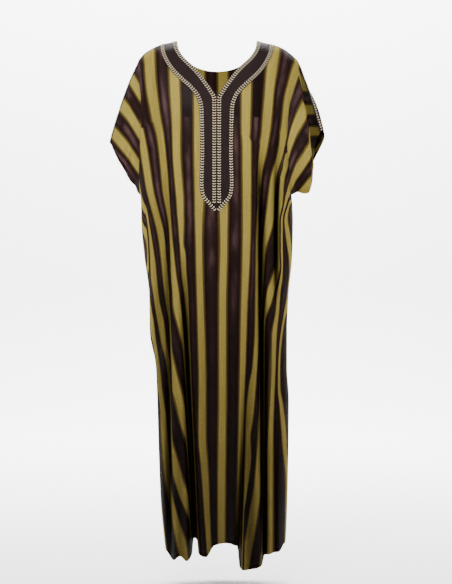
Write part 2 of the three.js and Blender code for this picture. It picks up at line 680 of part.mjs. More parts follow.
const group = new THREE.Group();
const front = makePanel(-1);
const back = makePanel(1);
const sleeves = [makeSleeve(-1, SLEEVE_RIGHT, front, back), makeSleeve(1, SLEEVE_LEFT, front, back)];
openSeams(front, back, sleeves);
for (const piece of [front, back, ...sleeves]) setLifts(piece.sheet, piece.normals);
for (const sleeve of sleeves) matchLifts(front, back, sleeve);

addWall("front", MATERIALS.cloth, front.sheet, -CLOTH, 0);
addWall("back", MATERIALS.cloth, back.sheet, -CLOTH, 0);

const onBand = GAP + TAPE + GAP;
for (const sleeve of sleeves) {
  const side = sleeve.side;
  const name = side < 0 ? "right" : "left";
  addWall(`sleeve_${name}`, MATERIALS.cloth, sleeve.sheet, -CLOTH, 0);
  const band = frontStrip(front, side, FRONT_ROWS.length, (row) =>
    [0, INNER_BRAID, OUTER_BRAID, 1].map((share) => mix(row.innerX, row.outerX, share)));
  addWall(`band_${name}`, MATERIALS.band, band, GAP, GAP + TAPE);
  const inner = frontStrip(front, side, FRONT_ROWS.length - 1, (row) =>
    [row.innerX + 0.5, row.innerX + BRAID_WIDTH]);
  addWall(`braid_inner_${name}`, MATERIALS.braid, inner, onBand, onBand + BRAID);
  const outer = frontStrip(front, side, FRONT_ROWS.length, (row) =>
    [Math.max(row.innerX + 0.2, row.outerX - BRAID_WIDTH), row.outerX - Math.min(0.5, row.outerX / 10)]);
  addWall(`braid_outer_${name}`, MATERIALS.braid, outer, onBand, onBand + BRAID);
  const tape = shoulderStrip(front, back, sleeve, TAPE_HALF_WIDTH);
  addWall(`tape_${name}`, MATERIALS.band, tape, GAP, GAP + TAPE);
  const tapeBraid = shoulderStrip(front, back, sleeve, TAPE_BRAID_HALF_WIDTH);
  addWall(`tape_braid_${name}`, MATERIALS.braid, tapeBraid, onBand, onBand + BRAID);
}
addWall("band_back", MATERIALS.band, backStrip(back, 0, 1), GAP, GAP + TAPE);
addWall("braid_back_inner", MATERIALS.braid, backStrip(back, 0, INNER_BRAID), onBand, onBand + BRAID);
addWall("braid_back_outer", MATERIALS.braid, backStrip(back, OUTER_BRAID, 1), onBand, onBand + BRAID);

export default group;
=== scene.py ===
# Looks of a short-sleeved striped djellaba, worn and held out in the round. Sizes are in millimetres in the
# tables and formulas and in metres in Blender. The sheets follow the same formulas as the solid model.
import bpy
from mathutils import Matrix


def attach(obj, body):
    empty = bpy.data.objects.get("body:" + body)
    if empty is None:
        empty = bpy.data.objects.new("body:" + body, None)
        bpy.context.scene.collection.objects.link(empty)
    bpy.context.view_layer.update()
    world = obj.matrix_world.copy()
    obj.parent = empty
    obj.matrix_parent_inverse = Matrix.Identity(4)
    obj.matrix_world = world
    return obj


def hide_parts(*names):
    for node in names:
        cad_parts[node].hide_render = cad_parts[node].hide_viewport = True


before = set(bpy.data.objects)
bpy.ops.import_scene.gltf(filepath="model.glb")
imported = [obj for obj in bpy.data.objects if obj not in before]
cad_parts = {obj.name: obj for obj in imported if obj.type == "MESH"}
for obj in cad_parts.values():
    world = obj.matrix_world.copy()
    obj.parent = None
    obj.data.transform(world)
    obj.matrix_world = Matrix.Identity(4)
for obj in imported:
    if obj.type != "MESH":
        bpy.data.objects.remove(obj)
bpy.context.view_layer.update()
import math
import bpy
import numpy as np
from mathutils import Vector

MM = 0.001

# Camera: 4 m before the garment, level, at the height of its middle
CAMERA_PLACE = (0.0243, -4.0, -0.6723)
PICTURE_HEIGHT = 1.5768
SENSOR = 24.0

# Thickness of the cloth, and the gap that parts pieces
CLOTH = 0.9
GAP = 0.3
HALF_GAP = GAP / 2

NECK_POINT = 4.0
SHOULDER_TIP = -60.0
UNDERARM = -410.0
SLIT_END = -466.0
EDGE_POWER = 2.6

# The wearer's right and left
SIDES = (-1, 1)
NAMES = {-1: "right", 1: "left"}


def table(names, rows):
    columns = names.split()
    return {name: np.array([row[k] for row in rows], float) for k, name in enumerate(columns)}


# Half widths of the worn body on the wearer's right and left, and the depth of its widest line
BODY = table("z right left middle", [
    (4, 107, 107, 0),
    (-8, 152, 152, 0),
    (-16, 170, 173, 0),
    (-34, 197, 199, 0),
    (-60, 214, 221, 0),
    (-110, 216, 214, -18),
    (-160, 215, 206, -28),
    (-300, 214, 196, -30),
    (-380, 210, 199, -10),
    (-410, 207, 201, 0),
    (-430, 205, 203, 0),
    (-483, 204, 205, 0),
    (-575, 196, 203, 0),
    (-678, 183, 193, 0),
    (-780, 181, 189, 0),
    (-872, 165, 189, 0),
    (-964, 161, 194, 0),
    (-1072, 158, 193, 0),
    (-1226, 152, 190, 0),
    (-1328, 143, 186, 0),
    (-1400, 134, 178, 0),
])

# How far the cloth stands before and behind the shoulder line, by the drop below that line
PROFILE = table("drop front back", [
    (0, 0, 0),
    (8, 24, 26),
    (25, 45, 48),
    (50, 63, 68),
    (90, 84, 90),
    (140, 102, 106),
    (200, 116, 114),
    (280, 123, 116),
    (420, 122, 110),
    (600, 117, 114),
    (820, 116, 134),
    (1000, 120, 141),
    (1400, 128, 148),
])

# Troughs of the solid model: name, z0, z1, x0, x1, d0, d1, d2, reach to the right, reach to the left
FRONT_FOLDS = [
    ("right_ridge", -300, -1400, -130, -124, 4, 20, 24, 11, 7),
    ("right_pleat", -560, -1400, -90, -57, 0, 46, 92, 9, 9),
    ("right_lip", -520, -1400, -82, -54, 0, 14, 20, 20, 34),
    ("centre", -800, -1400, 24, 28, 0, 20, 46, 52, 34),
    ("left_lap", -860, -1400, 80, 55, 0, 22, 38, 8, 7),
    ("left_pleat", -280, -1400, 112, 125, 0, 62, 20, 7, 10),
    ("left_underarm", -360, -720, 156, 157, 8, 24, 0, 6, 6),
    ("left_edge", -780, -1400, 160, 152, 0, 14, 16, 9, 7),
]
BACK_FOLDS = [
    ("spine", -330, -1400, -6, -14, 0, 26, 44, 20, 24),
    ("right_blade", -190, -1400, -74, -70, 0, 30, 50, 13, 16),
    ("right_hip", -420, -1400, -136, -112, 4, 24, 30, 11, 13),
    ("left_blade", -240, -1400, 62, 52, 0, 28, 58, 15, 12),
    ("left_hip", -400, -1400, 122, 114, 4, 32, 44, 13, 12),
    ("left_side", -640, -1400, 166, 156, 0, 14, 20, 9, 9),
]

# Troughs of the front that swallow some of the cloth, so the stripes start afresh beyond them, and all that
# keep light out
PLEATS = ("right_ridge", "right_pleat", "left_pleat")
SHADED = PLEATS + ("left_lap", "left_underarm")

# Soft creases that only show at this finish, in the same columns
FRONT_CREASES = [
    ("left_underarm_cut", -350, -690, 158, 158, 4, 20, 0, 5, 5),
    ("chest_right", -60, -420, -168, -150, 1.5, 5, 3, 16, 12),
    ("chest_right_inner", -120, -700, -84, -76, 0, 2.6, 2, 12, 14),
    ("chest_left", -90, -460, 118, 128, 1, 4, 3, 12, 16),
    ("chest_left_outer", -80, -400, 160, 166, 2, 6, 6, 10, 9),
    ("waist_right", -430, -1000, -158, -150, 3, 9, 6, 10, 12),
    ("belly_right", -480, -1250, -32, -28, 0, 4, 5, 12, 13),
    ("belly_left", -470, -1200, 46, 42, 0, 5, 6, 13, 12),
    ("thigh_left", -600, -1300, 88, 84, 0, 7, 8, 10, 12),
    ("hem_right", -900, -1400, -104, -92, 0, 7, 12, 10, 10),
    ("hem_centre", -1000, -1400, -6, -8, 0, 3, 6, 11, 11),
    ("hem_left", -980, -1400, 96, 88, 0, 6, 10, 11, 11),
]
BACK_CREASES = [
    ("neck_right", -120, -520, -38, -30, 0, 3, 2, 14, 12),
    ("neck_left", -120, -560, 34, 28, 0, 3, 2, 12, 14),
    ("shoulder_right", -70, -420, -150, -130, 1, 5, 4, 16, 13),
    ("shoulder_left", -70, -430, 148, 132, 1, 5, 4, 13, 16),
    ("seat_right", -520, -1300, -46, -42, 0, 4, 6, 12, 11),
    ("seat_left", -560, -1340, 26, 20, 0, 4, 6, 10, 12),
    ("calf_left", -760, -1400, 88, 84, 0, 4, 9, 11, 11),
    ("calf_right", -700, -1400, -98, -92, 0, 4, 8, 11, 11),
]

# Height of the front hem across its width, and of the plain back hem
HEM = table("x z", [
    (-134, -1364), (-117, -1382), (-97, -1369), (-80, -1380), (-66, -1369), (-62, -1334), (-53, -1334),
    (-49, -1365), (-28, -1370), (-6, -1341), (24, -1336), (54, -1345), (60, -1398), (70, -1403),
    (118, -1393), (127, -1367), (166, -1360), (178, -1344),
])
BACK_HEM = -1340.0

# Rows of the front from the shoulder to the end of the slit: the neckline and slit, the outer edge of the
# band, and the height at the armhole or side seam
FRONT_ROWS = table("innerX innerZ outerX outerZ side", [
    (107, 4, 152, -8, -60),
    (106, -8, 151, -20, -68),
    (102, -24, 148, -36, -80),
    (89, -47, 138, -60, -100),
    (66, -71, 120, -88, -126),
    (46, -92, 97, -113, -155),
    (27, -118, 72, -137, -188),
    (11, -142, 54, -162, -225),
    (0.8, -164, 46, -192, -262),
    (0.8, -225, 44, -238, -305),
    (0.8, -300, 43, -306, -355),
    (0.8, -378, 45, -384, -410),
    (0.8, -412, 42, -416, -432),
    (0.8, -440, 24, -443, -452),
    (0.4, -466, 1.4, -466, -466),
])
FRONT_ROWS["row"] = np.arange(15.0)
LAST_CHEST_ROW = 14
ARMHOLE_ROW = 11

# Rows of the back: the height at the centre, and how much of the neck and shoulder line each one keeps
BACK_ROWS = table("centre keep", [
    (-66, 1), (-76, 1), (-92, 0.98), (-114, 0.9), (-150, 0.7), (-198, 0.45), (-260, 0.2), (-330, 0.06),
    (-410, 0),
])
BACK_ROWS["row"] = np.arange(9.0)
LAST_BACK_ROW = 8

BACK_NECK = {"half": 107.0, "drop": 70.0, "top": 4.0}
BACK_BAND = {"half": 152.0, "drop": 104.0, "top": -8.0}
ARMHOLE = {-1: 42.0, 1: 58.0}

BRAID_WIDTH = 11.0
TAPE_HALF_WIDTH = 9.5

# Each sleeve by eight places round it, from the top by the front to under the arm and back up: halfway
# along, and at the cuff
SLEEVE_RIGHT = table("x1 y1 z1 x2 y2 z2", [
    (-251, 0, -148, -288, 0, -268),
    (-240, -38, -172, -273, -36, -296),
    (-227, -55, -238, -250, -50, -328),
    (-220, -46, -326, -231, -40, -358),
    (-215, 0, -402, -219, 0, -384),
    (-224, 38, -333, -236, 40, -370),
    (-234, 52, -245, -250, 52, -346),
    (-244, 38, -178, -274, 36, -304),
])
SLEEVE_LEFT = table("x1 y1 z1 x2 y2 z2", [
    (250, -26, -145, 279, -24, -240),
    (238, -64, -180, 257, -62, -301),
    (229, -72, -246, 256, -74, -348),
    (221, -58, -332, 246, -54, -406),
    (210, 0, -406, 218, -2, -400),
    (222, 38, -330, 236, 36, -374),
    (234, 50, -236, 262, 50, -318),
    (254, 18, -143, 291, 16, -256),
])

# Centre lines of the light stripes on the chest, as (height, distance across) seen from the camera on the
# plane of the shoulders. Each key is the stripe's own distance from the slit in the flat cut.
STRIPE_PERIOD = 64.0
STRIPE_LINES = {
    -304: [(-397, -240), (-486, -204), (-554, -186), (-621, -175), (-732, -156)],
    -240: [(-46, -267), (-146, -232), (-216, -211), (-296, -197), (-421, -176), (-486, -161), (-545, -151),
           (-599, -138), (-694, -134)],
    -176: [(-24, -184), (-100, -179), (-208, -161), (-246, -153), (-370, -139), (-486, -131), (-554, -128),
           (-632, -119), (-667, -112)],
    -112: [(-19, -116), (-100, -115), (-208, -112), (-289, -112), (-424, -101), (-486, -97), (-554, -92),
           (-621, -89), (-675, -85)],
    -48: [(-19, -51), (-208, -49), (-559, -49), (-667, -46), (-821, -42)],
    16: [(-19, 19), (-464, 19), (-575, 18), (-710, 15)],
    80: [(-19, 80), (-289, 78), (-397, 78), (-508, 77), (-621, 75), (-732, 73)],
    144: [(-19, 154), (-100, 146), (-208, 135), (-464, 113), (-545, 113)],
    208: [(-52, 221), (-76, 213), (-108, 203), (-158, 190), (-223, 184), (-300, 171), (-397, 154)],
    272: [(-178, 239), (-223, 214), (-262, 199), (-300, 190), (-339, 186), (-370, 177), (-400, 174)],
    336: [(-289, 255), (-328, 232), (-358, 212), (-393, 199)],
}

# Both edges of the light stripes in the zones that the pleats part, in the same picture, as (height, right
# edge, left edge) from the wearer's right side to the left
RIGHT_SIDE = {
    -368: [(-727, -183, -175), (-757, -185, -169), (-787, -181, -166), (-811, -173, -163),
           (-892, -162, -152), (-937, -160, -148), (-994, -154, -138), (-1024, -154, -132),
           (-1084, -151, -122), (-1114, -148, -121), (-1204, -138, -124), (-1234, -134, -119),
           (-1258, -128, -114), (-1342, -112, -84), (-1387, -101, -76)],
    -304: [(-478, -203, -181), (-532, -194, -175), (-586, -188, -166), (-697, -170, -155),
           (-727, -166, -148), (-817, -150, -126), (-847, -141, -118), (-877, -132, -110)],
    -240: [(-424, -176, -152), (-478, -167, -142), (-532, -159, -134), (-640, -147, -120)],
}
RIGHT_PANEL = {
    -368: [(-1207, -136, -124), (-1252, -127, -113), (-1297, -121, -100), (-1342, -112, -84),
           (-1387, -101, -76)],
    -304: [(-1084, -144, -118), (-1114, -135, -109), (-1144, -125, -100), (-1174, -118, -93),
           (-1204, -109, -82), (-1234, -99, -72), (-1258, -87, -63), (-1288, -74, -50)],
    -240: [(-847, -145, -118), (-907, -130, -104), (-937, -124, -96), (-961, -116, -90),
           (-1024, -101, -75), (-1054, -92, -66), (-1069, -86, -60)],
    -176: [(-532, -137, -119), (-640, -127, -107), (-667, -122, -102), (-697, -121, -98),
           (-727, -117, -93), (-757, -109, -85), (-787, -101, -77)],
    -112: [(-532, -102, -91), (-640, -96, -87), (-667, -93, -83), (-700, -84, -74)],
}
MIDDLE = {
    -240: [(-424, -188, -166), (-586, -176, -156), (-1400, -156, -136)],
    -176: [(-400, -149, -126), (-486, -142, -121), (-532, -137, -119), (-640, -127, -107),
           (-760, -124, -105), (-1400, -122, -104)],
    -112: [(-486, -105, -90), (-532, -102, -91), (-621, -93, -85), (-667, -90, -81), (-850, -80, -76)],
    -48: [(-667, -56, -36), (-821, -52, -31), (-923, -50, -29), (-1056, -51, -29), (-1169, -42, -22),
          (-1269, -35, -19)],
    16: [(-575, 7, 29), (-710, 4, 26), (-923, 4, 26), (-1220, 1, 23), (-1396, 2, 22)],
    80: [(-208, 66, 94), (-478, 68, 93), (-748, 63, 82), (-1436, 50, 62)],
    144: [(-208, 117, 145), (-285, 115, 137), (-362, 113, 124), (-401, 112, 119), (-464, 108, 119),
          (-545, 104, 122), (-757, 102, 119), (-877, 95, 109), (-923, 85, 106), (-1018, 75, 98),
          (-1063, 73, 91), (-1117, 73, 93), (-1207, 64, 82), (-1300, 58, 66)],
    208: [(-208, 176, 198), (-300, 160, 182), (-464, 142, 164), (-860, 124, 146), (-1018, 111, 134),
          (-1072, 109, 130), (-1162, 102, 126), (-1207, 98, 121), (-1252, 89, 113), (-1297, 82, 107),
          (-1387, 67, 91)],
}
LEFT_SIDE = {
    208: [(-208, 176, 195), (-300, 162, 180), (-362, 145, 162), (-478, 128, 155), (-555, 107, 133),
          (-594, 97, 124)],
    272: [(-223, 203, 227), (-262, 189, 211), (-300, 181, 200), (-339, 176, 191), (-362, 170, 184),
          (-439, 165, 177), (-480, 163, 169), (-560, 162, 169), (-605, 157, 171), (-632, 147, 167),
          (-651, 141, 163), (-667, 134, 156), (-697, 127, 150), (-727, 115, 138), (-742, 108, 131)],
    336: [(-289, 245, 266), (-328, 222, 243), (-358, 202, 222), (-401, 187, 201), (-439, 180, 187),
          (-478, 172, 178), (-632, 169, 177), (-667, 162, 172), (-727, 158, 168), (-787, 148, 162),
          (-877, 147, 159), (-1072, 136, 152), (-1117, 132, 152), (-1342, 132, 152)],
    400: [(-352, 260, 280), (-376, 246, 266), (-402, 222, 242), (-424, 196, 206), (-439, 191, 196),
          (-478, 181, 191), (-516, 184, 198), (-594, 195, 205), (-640, 197, 203), (-700, 186, 191),
          (-820, 168, 173), (-877, 165, 170), (-937, 164, 171), (-973, 168, 178), (-1063, 175, 188),
          (-1117, 180, 190), (-1162, 185, 194), (-1300, 188, 198)],
}
ZONES = (("right_ridge", RIGHT_SIDE), ("right_pleat", RIGHT_PANEL), ("left_pleat", MIDDLE), ("", LEFT_SIDE))
HALF_STRIPE = 15.5

# Light stripes of the sleeves, as (distance across, height) in the same picture. The last line of each
# sleeve is its cuff.
SLEEVE_LINES = {
    -1: {
        240: [(-231, -97), (-209, -133)],
        304: [(-256, -169), (-239, -189), (-212, -235)],
        368: [(-278, -246), (-245, -285), (-211, -335)],
        405: [(-289, -281), (-270, -308), (-246, -335), (-220, -374), (-210, -387)],
    },
    1: {
        208: [(176, -300), (184, -223), (190, -158), (203, -108), (213, -76), (221, -52)],
        272: [(186, -339), (190, -300), (199, -262), (214, -223), (239, -178)],
        336: [(199, -393), (212, -358), (232, -328), (255, -289)],
        400: [(232, -402), (256, -376), (270, -352)],
    },
}

# The left sleeve turns away behind a fold, where the same stripes lie closer together, and painted shade
# darkens the turned face
LEFT_FOLD = table("z across", [
    (-73, 221), (-157, 234), (-208, 244), (-262, 251), (-298, 258),
])
LEFT_FOLD_STRIPES = table("z place", [
    (-60, 182), (-117, 208), (-181, 272), (-238, 336), (-290, 392),
])


def read(source, key, where, column):
    """A column of a table at any place along its key, bending smoothly through the rows"""
    places = source[key]
    values = source[column]
    where = np.asarray(where, float)
    if places[-1] < places[0]:
        places, values = places[::-1], values[::-1]
    width = np.diff(places)
    slope = np.diff(values) / width
    both = slope[1:] * slope[:-1]
    inner = np.where(both > 0, 2 * both / (slope[1:] + slope[:-1] + 1e-30), 0)
    bend = np.concatenate([[slope[0]], inner, [slope[-1]]])
    at = np.clip(where, places[0], places[-1])
    k = np.clip(np.searchsorted(places, at, side="right") - 1, 0, len(width) - 1)
    t = (at - places[k]) / width[k]
    low = values[k] * (1 + 2 * t) * (1 - t) ** 2 + bend[k] * width[k] * t * (1 - t) ** 2
    high = values[k + 1] * t * t * (3 - 2 * t) - bend[k + 1] * width[k] * t * t * (1 - t)
    return low + high


def mix(a, b, share):
    return a + (b - a) * share


def soften(share):
    """A share that starts and ends gently"""
    return share * share * (3 - 2 * share)


def one_long(vectors):
    return vectors / np.maximum(np.linalg.norm(vectors, axis=-1, keepdims=True), 1e-9)


def arc_length(points):
    steps = np.linalg.norm(np.diff(points, axis=0), axis=1)
    return np.concatenate([[0], np.cumsum(steps)])


def across_rows(grid):
    """Distance along each row of a grid from its first point"""
    steps = np.linalg.norm(np.diff(grid, axis=1), axis=2)
    return np.concatenate([np.zeros((len(grid), 1)), np.cumsum(steps, axis=1)], axis=1)


def read_points(where, places, points):
    """Points read between the places of a line's own points"""
    return np.stack([np.interp(where, places, points[:, axis]) for axis in range(3)], axis=-1)


def on_line(line, travel):
    return read_points(travel, arc_length(line), line)


def half_width(side, z):
    return read(BODY, "z", z, "right" if side < 0 else "left")


def shoulder_line(side, distance):
    """Height of the shoulder line at a distance from the centre"""
    distance = np.asarray(distance, float)
    low = np.full(distance.shape, SHOULDER_TIP)
    high = np.full(distance.shape, NECK_POINT)
    for _ in range(36):
        z = (low + high) / 2
        wide = half_width(side, z) > distance
        low = np.where(wide, z, low)
        high = np.where(wide, high, z)
    return (low + high) / 2


def trough(fold, x, z):
    """Distance from a trough's middle line at a place, and the depth of that line there"""
    _, z0, z1, x0, x1, d0, d1, d2, _, _ = fold
    t = np.clip((z0 - z) / (z0 - z1), 0, 1)
    bend = d0 * (1 - t) * (1 - 2 * t) + d1 * 4 * t * (1 - t) + d2 * t * (2 * t - 1)
    fade = np.clip(1 - np.maximum(0, z - z0) / 60, 0, 1) * np.clip(1 - np.maximum(0, z1 - z) / 120, 0, 1)
    return x - mix(x0, x1, t), bend * fade


def fold_depth(folds, x, z):
    """Depth that the cloth has fallen in at a place, from every trough in a list"""
    depth = np.zeros(np.broadcast(x, z).shape)
    for fold in folds:
        off, deepest = trough(fold, x, z)
        reach = np.where(off < 0, fold[-2], fold[-1])
        depth = depth + deepest * np.exp(-(off / reach) ** 2)
    return depth


def body_point(face, side, distance, z):
    """Points of the worn body: face is -1 before the shoulder line and 1 behind it"""
    distance, z = np.broadcast_arrays(np.asarray(distance, float), np.asarray(z, float))
    x = side * distance
    share = np.minimum(1, distance / half_width(side, z))
    curve = (1 - share ** EDGE_POWER) ** (1 / EDGE_POWER)
    middle = read(BODY, "z", z, "middle")
    reach = face * read(PROFILE, "drop", NECK_POINT - z, "front" if face < 0 else "back")
    folds = fold_depth(FRONT_FOLDS if face < 0 else BACK_FOLDS, x, z)
    creases = fold_depth(FRONT_CREASES if face < 0 else BACK_CREASES, x, z)
    calm = np.minimum(1, 1.5 * curve)
    y = middle + (reach - middle) * curve - face * (folds + creases) * calm
    return np.stack([x, y, z], axis=-1)


def panel_edge(face, side, z):
    """Distance from the centre at which a panel ends: at the armhole, or at the side seam below it"""
    width = float(half_width(side, z))
    if z >= SHOULDER_TIP or z <= UNDERARM:
        return width
    centre = (SHOULDER_TIP + UNDERARM) / 2
    half = (SHOULDER_TIP - UNDERARM) / 2
    hole = ARMHOLE[face] * math.sqrt(max(0, 1 - ((z - centre) / half) ** 2))
    middle = float(read(BODY, "z", z, "middle"))
    reach = face * float(read(PROFILE, "drop", NECK_POINT - z, "front" if face < 0 else "back"))
    return width * (1 - (hole / abs(reach - middle)) ** EDGE_POWER) ** (1 / EDGE_POWER)


def spread(face, side, start, height_at, edge, count, turn_cost=6.0):
    """Distances from the centre of one row's columns, closer together where the cloth turns"""
    distance = mix(start, edge, 1 - (1 - np.linspace(0, 1, 700)) ** 2.5)
    points = body_point(face, side, distance, height_at(distance))
    steps = np.diff(points, axis=0)
    length = np.linalg.norm(steps, axis=1)
    unit = one_long(steps)
    turn = np.concatenate([[0], np.arccos(np.clip((unit[1:] * unit[:-1]).sum(axis=1), -1, 1))])
    cost = np.concatenate([[0], np.cumsum(length + turn_cost * turn)])
    return np.interp(np.linspace(0, cost[-1], count + 1), cost, distance)


def panel_row(face, side, fixed, height_at, edge, count, loose):
    """One row of half a panel. loose says how far its first columns have let go of their fixed places"""
    held = np.concatenate([fixed[:-1], spread(face, side, fixed[-1], height_at, edge, count)])
    if loose > 0:
        even = spread(face, side, fixed[0], height_at, edge, len(held) - 1)
        held = mix(held, even, loose)
    return body_point(face, side, held, height_at(held))


# Steps between the tables' rows, and the columns of half a panel
CHEST_STEPS = 6
SKIRT_STEPS = 132
FRONT_SPREAD = 84
BAND_STEPS = 12
BACK_STEPS = 7
BACK_SKIRT_STEPS = 110
BACK_SPREAD = 56
SLEEVE_AROUND = 128
SLEEVE_ALONG = 46
RING_TURN = np.linspace(0, 2, SLEEVE_AROUND + 1)
SEAM_DIP = 0.5
SLIT_COLUMNS_END = 42.0

# Rows of the grids at which the slit ends and the armholes end
SLIT_ROW = CHEST_STEPS * LAST_CHEST_ROW
FRONT_ARMHOLE = CHEST_STEPS * ARMHOLE_ROW
BACK_ARMHOLE = BACK_STEPS * LAST_BACK_ROW


def chest(row, column):
    return float(read(FRONT_ROWS, "row", row, column))


def row_steps(early, steps, last):
    """Places down a table's rows: a few that start slowly, and even steps from the second row on"""
    return [(k / early) ** 2 for k in range(early)] + list(np.linspace(1, last, steps * (last - 1) + 1))


def front_heights(side, row):
    """Height of a chest row at any distance from the centre, and where its band begins and ends"""
    inner_z = chest(row, "innerZ")
    outer_z = chest(row, "outerZ")
    side_height = chest(row, "side")
    inner = chest(row, "innerX")
    outer = max(chest(row, "outerX"), SLIT_COLUMNS_END)
    if row > LAST_CHEST_ROW - 1:
        inner = inner * (LAST_CHEST_ROW - row)
    edge = panel_edge(-1, side, side_height)

    def height_at(distance):
        level = np.where(
            distance < outer,
            mix(inner_z, outer_z, (distance - inner) / (outer - inner)),
            mix(outer_z, side_height, (distance - outer) / (edge - outer)),
        )
        on_top = max(0.0, 1 - row)
        return mix(level, shoulder_line(side, distance), on_top) if on_top > 0 else level

    return height_at, inner, outer, edge


def front_rows(side):
    rows = []
    for row in row_steps(CHEST_STEPS, CHEST_STEPS, LAST_CHEST_ROW):
        height_at, inner, outer, edge = front_heights(side, row)
        fixed = list(np.linspace(inner, outer, BAND_STEPS + 1))
        rows.append(panel_row(-1, side, fixed, height_at, edge, FRONT_SPREAD, 0))
    rows[0][:, 1] = 0
    for k in range(1, SKIRT_STEPS + 1):
        share = k / SKIRT_STEPS

        def height_at(distance):
            return mix(SLIT_END, read(HEM, "x", side * distance, "z"), share)

        edge = float(half_width(side, height_at(np.array(1000.0))))
        fixed = list(np.linspace(0, SLIT_COLUMNS_END, BAND_STEPS + 1))
        loose = min(1, share / 0.28)
        rows.append(panel_row(-1, side, fixed, height_at, edge, FRONT_SPREAD, loose))
    return np.array(rows)


def back_top(side, distance):
    share = np.minimum(1, distance / BACK_NECK["half"])
    oval = BACK_NECK["top"] - BACK_NECK["drop"] * np.sqrt(1 - share * share)
    return np.where(distance >= BACK_NECK["half"], shoulder_line(side, distance), oval)


def back_rows(side):
    neck = BACK_NECK["half"] * np.sin(np.linspace(0, math.pi / 2, 25))[:-1]
    fixed = list(neck) + list(np.linspace(BACK_NECK["half"], BACK_BAND["half"], 9))
    start = float(BACK_ROWS["centre"][0])
    rows = []
    for row in row_steps(BACK_STEPS, BACK_STEPS, LAST_BACK_ROW):
        centre = float(read(BACK_ROWS, "row", row, "centre"))
        keep = float(read(BACK_ROWS, "row", row, "keep"))

        def height_at(distance):
            return centre + keep * (back_top(side, distance) - start)

        edge = panel_edge(1, side, centre + keep * (SHOULDER_TIP - start))
        rows.append(panel_row(1, side, fixed, height_at, edge, BACK_SPREAD, min(1, max(0, row - 3) / 4)))
    on_shoulder = np.abs(rows[0][:, 0]) > BACK_NECK["half"] - 0.01
    rows[0][on_shoulder, 1] = 0
    side_hem = float(read(HEM, "x", side * 1000, "z"))
    for k in range(1, BACK_SKIRT_STEPS + 1):
        share = k / BACK_SKIRT_STEPS

        def height_at(distance):
            hem = BACK_HEM + 5 * np.cos(5 * distance / 60)
            return mix(UNDERARM, mix(hem, side_hem, np.clip((distance - 110) / 24, 0, 1)), share)

        edge = float(half_width(side, height_at(np.array(1000.0))))
        rows.append(panel_row(1, side, fixed, height_at, edge, BACK_SPREAD, 1))
    return np.array(rows)


def ring_place(source, ring, turn):
    """A point of a sleeve's ring at a turn from 0 at the top, through 1 under the arm, to 2"""
    place = np.asarray(turn) * 4
    k = np.floor(place).astype(int)
    t = (place - k)[..., None]
    rows = np.stack([source[axis + ring] for axis in "xyz"], axis=-1)
    a, b, c, d = [rows[(k + step) % 8] for step in (-1, 0, 1, 2)]
    return b + 0.5 * t * (c - a + t * (2 * a - 5 * b + 4 * c - d + t * (3 * (b - c) + d - a)))


def armhole(front_grid, back_grid):
    """A loop round an armhole, down the front's edge from the shoulder and up the back's"""
    return np.concatenate([front_grid[:FRONT_ARMHOLE + 1, -1], back_grid[BACK_ARMHOLE - 1::-1, -1]])


def sleeve_rings(source, loop, turns):
    """Rings of a sleeve from the armhole's loop, whose points stand at these turns, to the cuff"""
    start = read_points(RING_TURN, turns, loop)
    halfway = ring_place(source, "1", RING_TURN)
    cuff = ring_place(source, "2", RING_TURN)
    rings = []
    for w in np.linspace(0, 1, SLEEVE_ALONG + 1):
        rings.append(start * (1 - w) * (1 - 2 * w) + halfway * 4 * w * (1 - w) + cuff * w * (2 * w - 1))
    rings = np.array(rings)
    around = RING_TURN * 2 * math.pi
    out = np.linspace(0, 1, SLEEVE_ALONG + 1)[:, None]
    ripple = 2.2 * np.sin(3.5 * around + 1.1) + 1.6 * np.sin(5.5 * around + 0.4)
    calm = np.sin(math.pi * RING_TURN) ** 2 * np.sin(math.pi * np.minimum(1, out * 1.6) / 2)
    away = one_long(rings - rings.mean(axis=1, keepdims=True))
    return rings + away * (ripple * calm)[..., None]


def grid_normals(grid, closed=False):
    """Directions square to a grid of points, from its neighbours on either side"""
    down = np.gradient(grid, axis=0)
    if closed:
        ring = np.concatenate([grid[:, -2:-1], grid, grid[:, 1:2]], axis=1)
        over = (ring[:, 2:] - ring[:, :-2]) / 2
    else:
        over = np.gradient(grid, axis=1)
    return one_long(np.cross(over, down))


class Sheet:
    """Points with outward directions, cloth coordinates and the faces between them"""

    def __init__(self):
        self.points = []
        self.normals = []
        self.cloth = []
        self.faces = []
        self.count = 0

    def add_points(self, points, normals, cloth):
        points = np.asarray(points, float).reshape(-1, 3)
        self.points.append(points)
        self.normals.append(np.asarray(normals, float).reshape(-1, 3))
        cloth = np.asarray(cloth, float)
        cloth = cloth.reshape(-1, cloth.shape[-1])
        if cloth.shape[1] == 2:
            cloth = np.concatenate([cloth, np.ones((len(cloth), 1))], axis=1)
        self.cloth.append(cloth)
        first = self.count
        self.count += len(points)
        return np.arange(first, self.count)

    def add_cells(self, index, flip):
        a, b, c, d = index[:-1, :-1], index[:-1, 1:], index[1:, 1:], index[1:, :-1]
        quads = np.stack([a, b, c, d] if not flip else [a, d, c, b], axis=-1).reshape(-1, 4)
        self.faces.append(quads)

    def joined(self):
        return (np.concatenate(self.points), np.concatenate(self.normals), np.concatenate(self.cloth),
                np.concatenate(self.faces))


def rim_edges(faces):
    """Edges that belong to one face only, each in that face's direction"""
    starts = faces.reshape(-1)
    ends = np.roll(faces, -1, axis=1).reshape(-1)
    size = int(faces.max()) + 1
    forward = starts.astype(np.int64) * size + ends
    backward = ends.astype(np.int64) * size + starts
    lone = ~np.isin(forward, backward)
    return np.stack([starts[lone], ends[lone]], axis=1)


def add_object(name, data):
    thing = bpy.data.objects.new(name, data)
    bpy.context.scene.collection.objects.link(thing)
    return thing


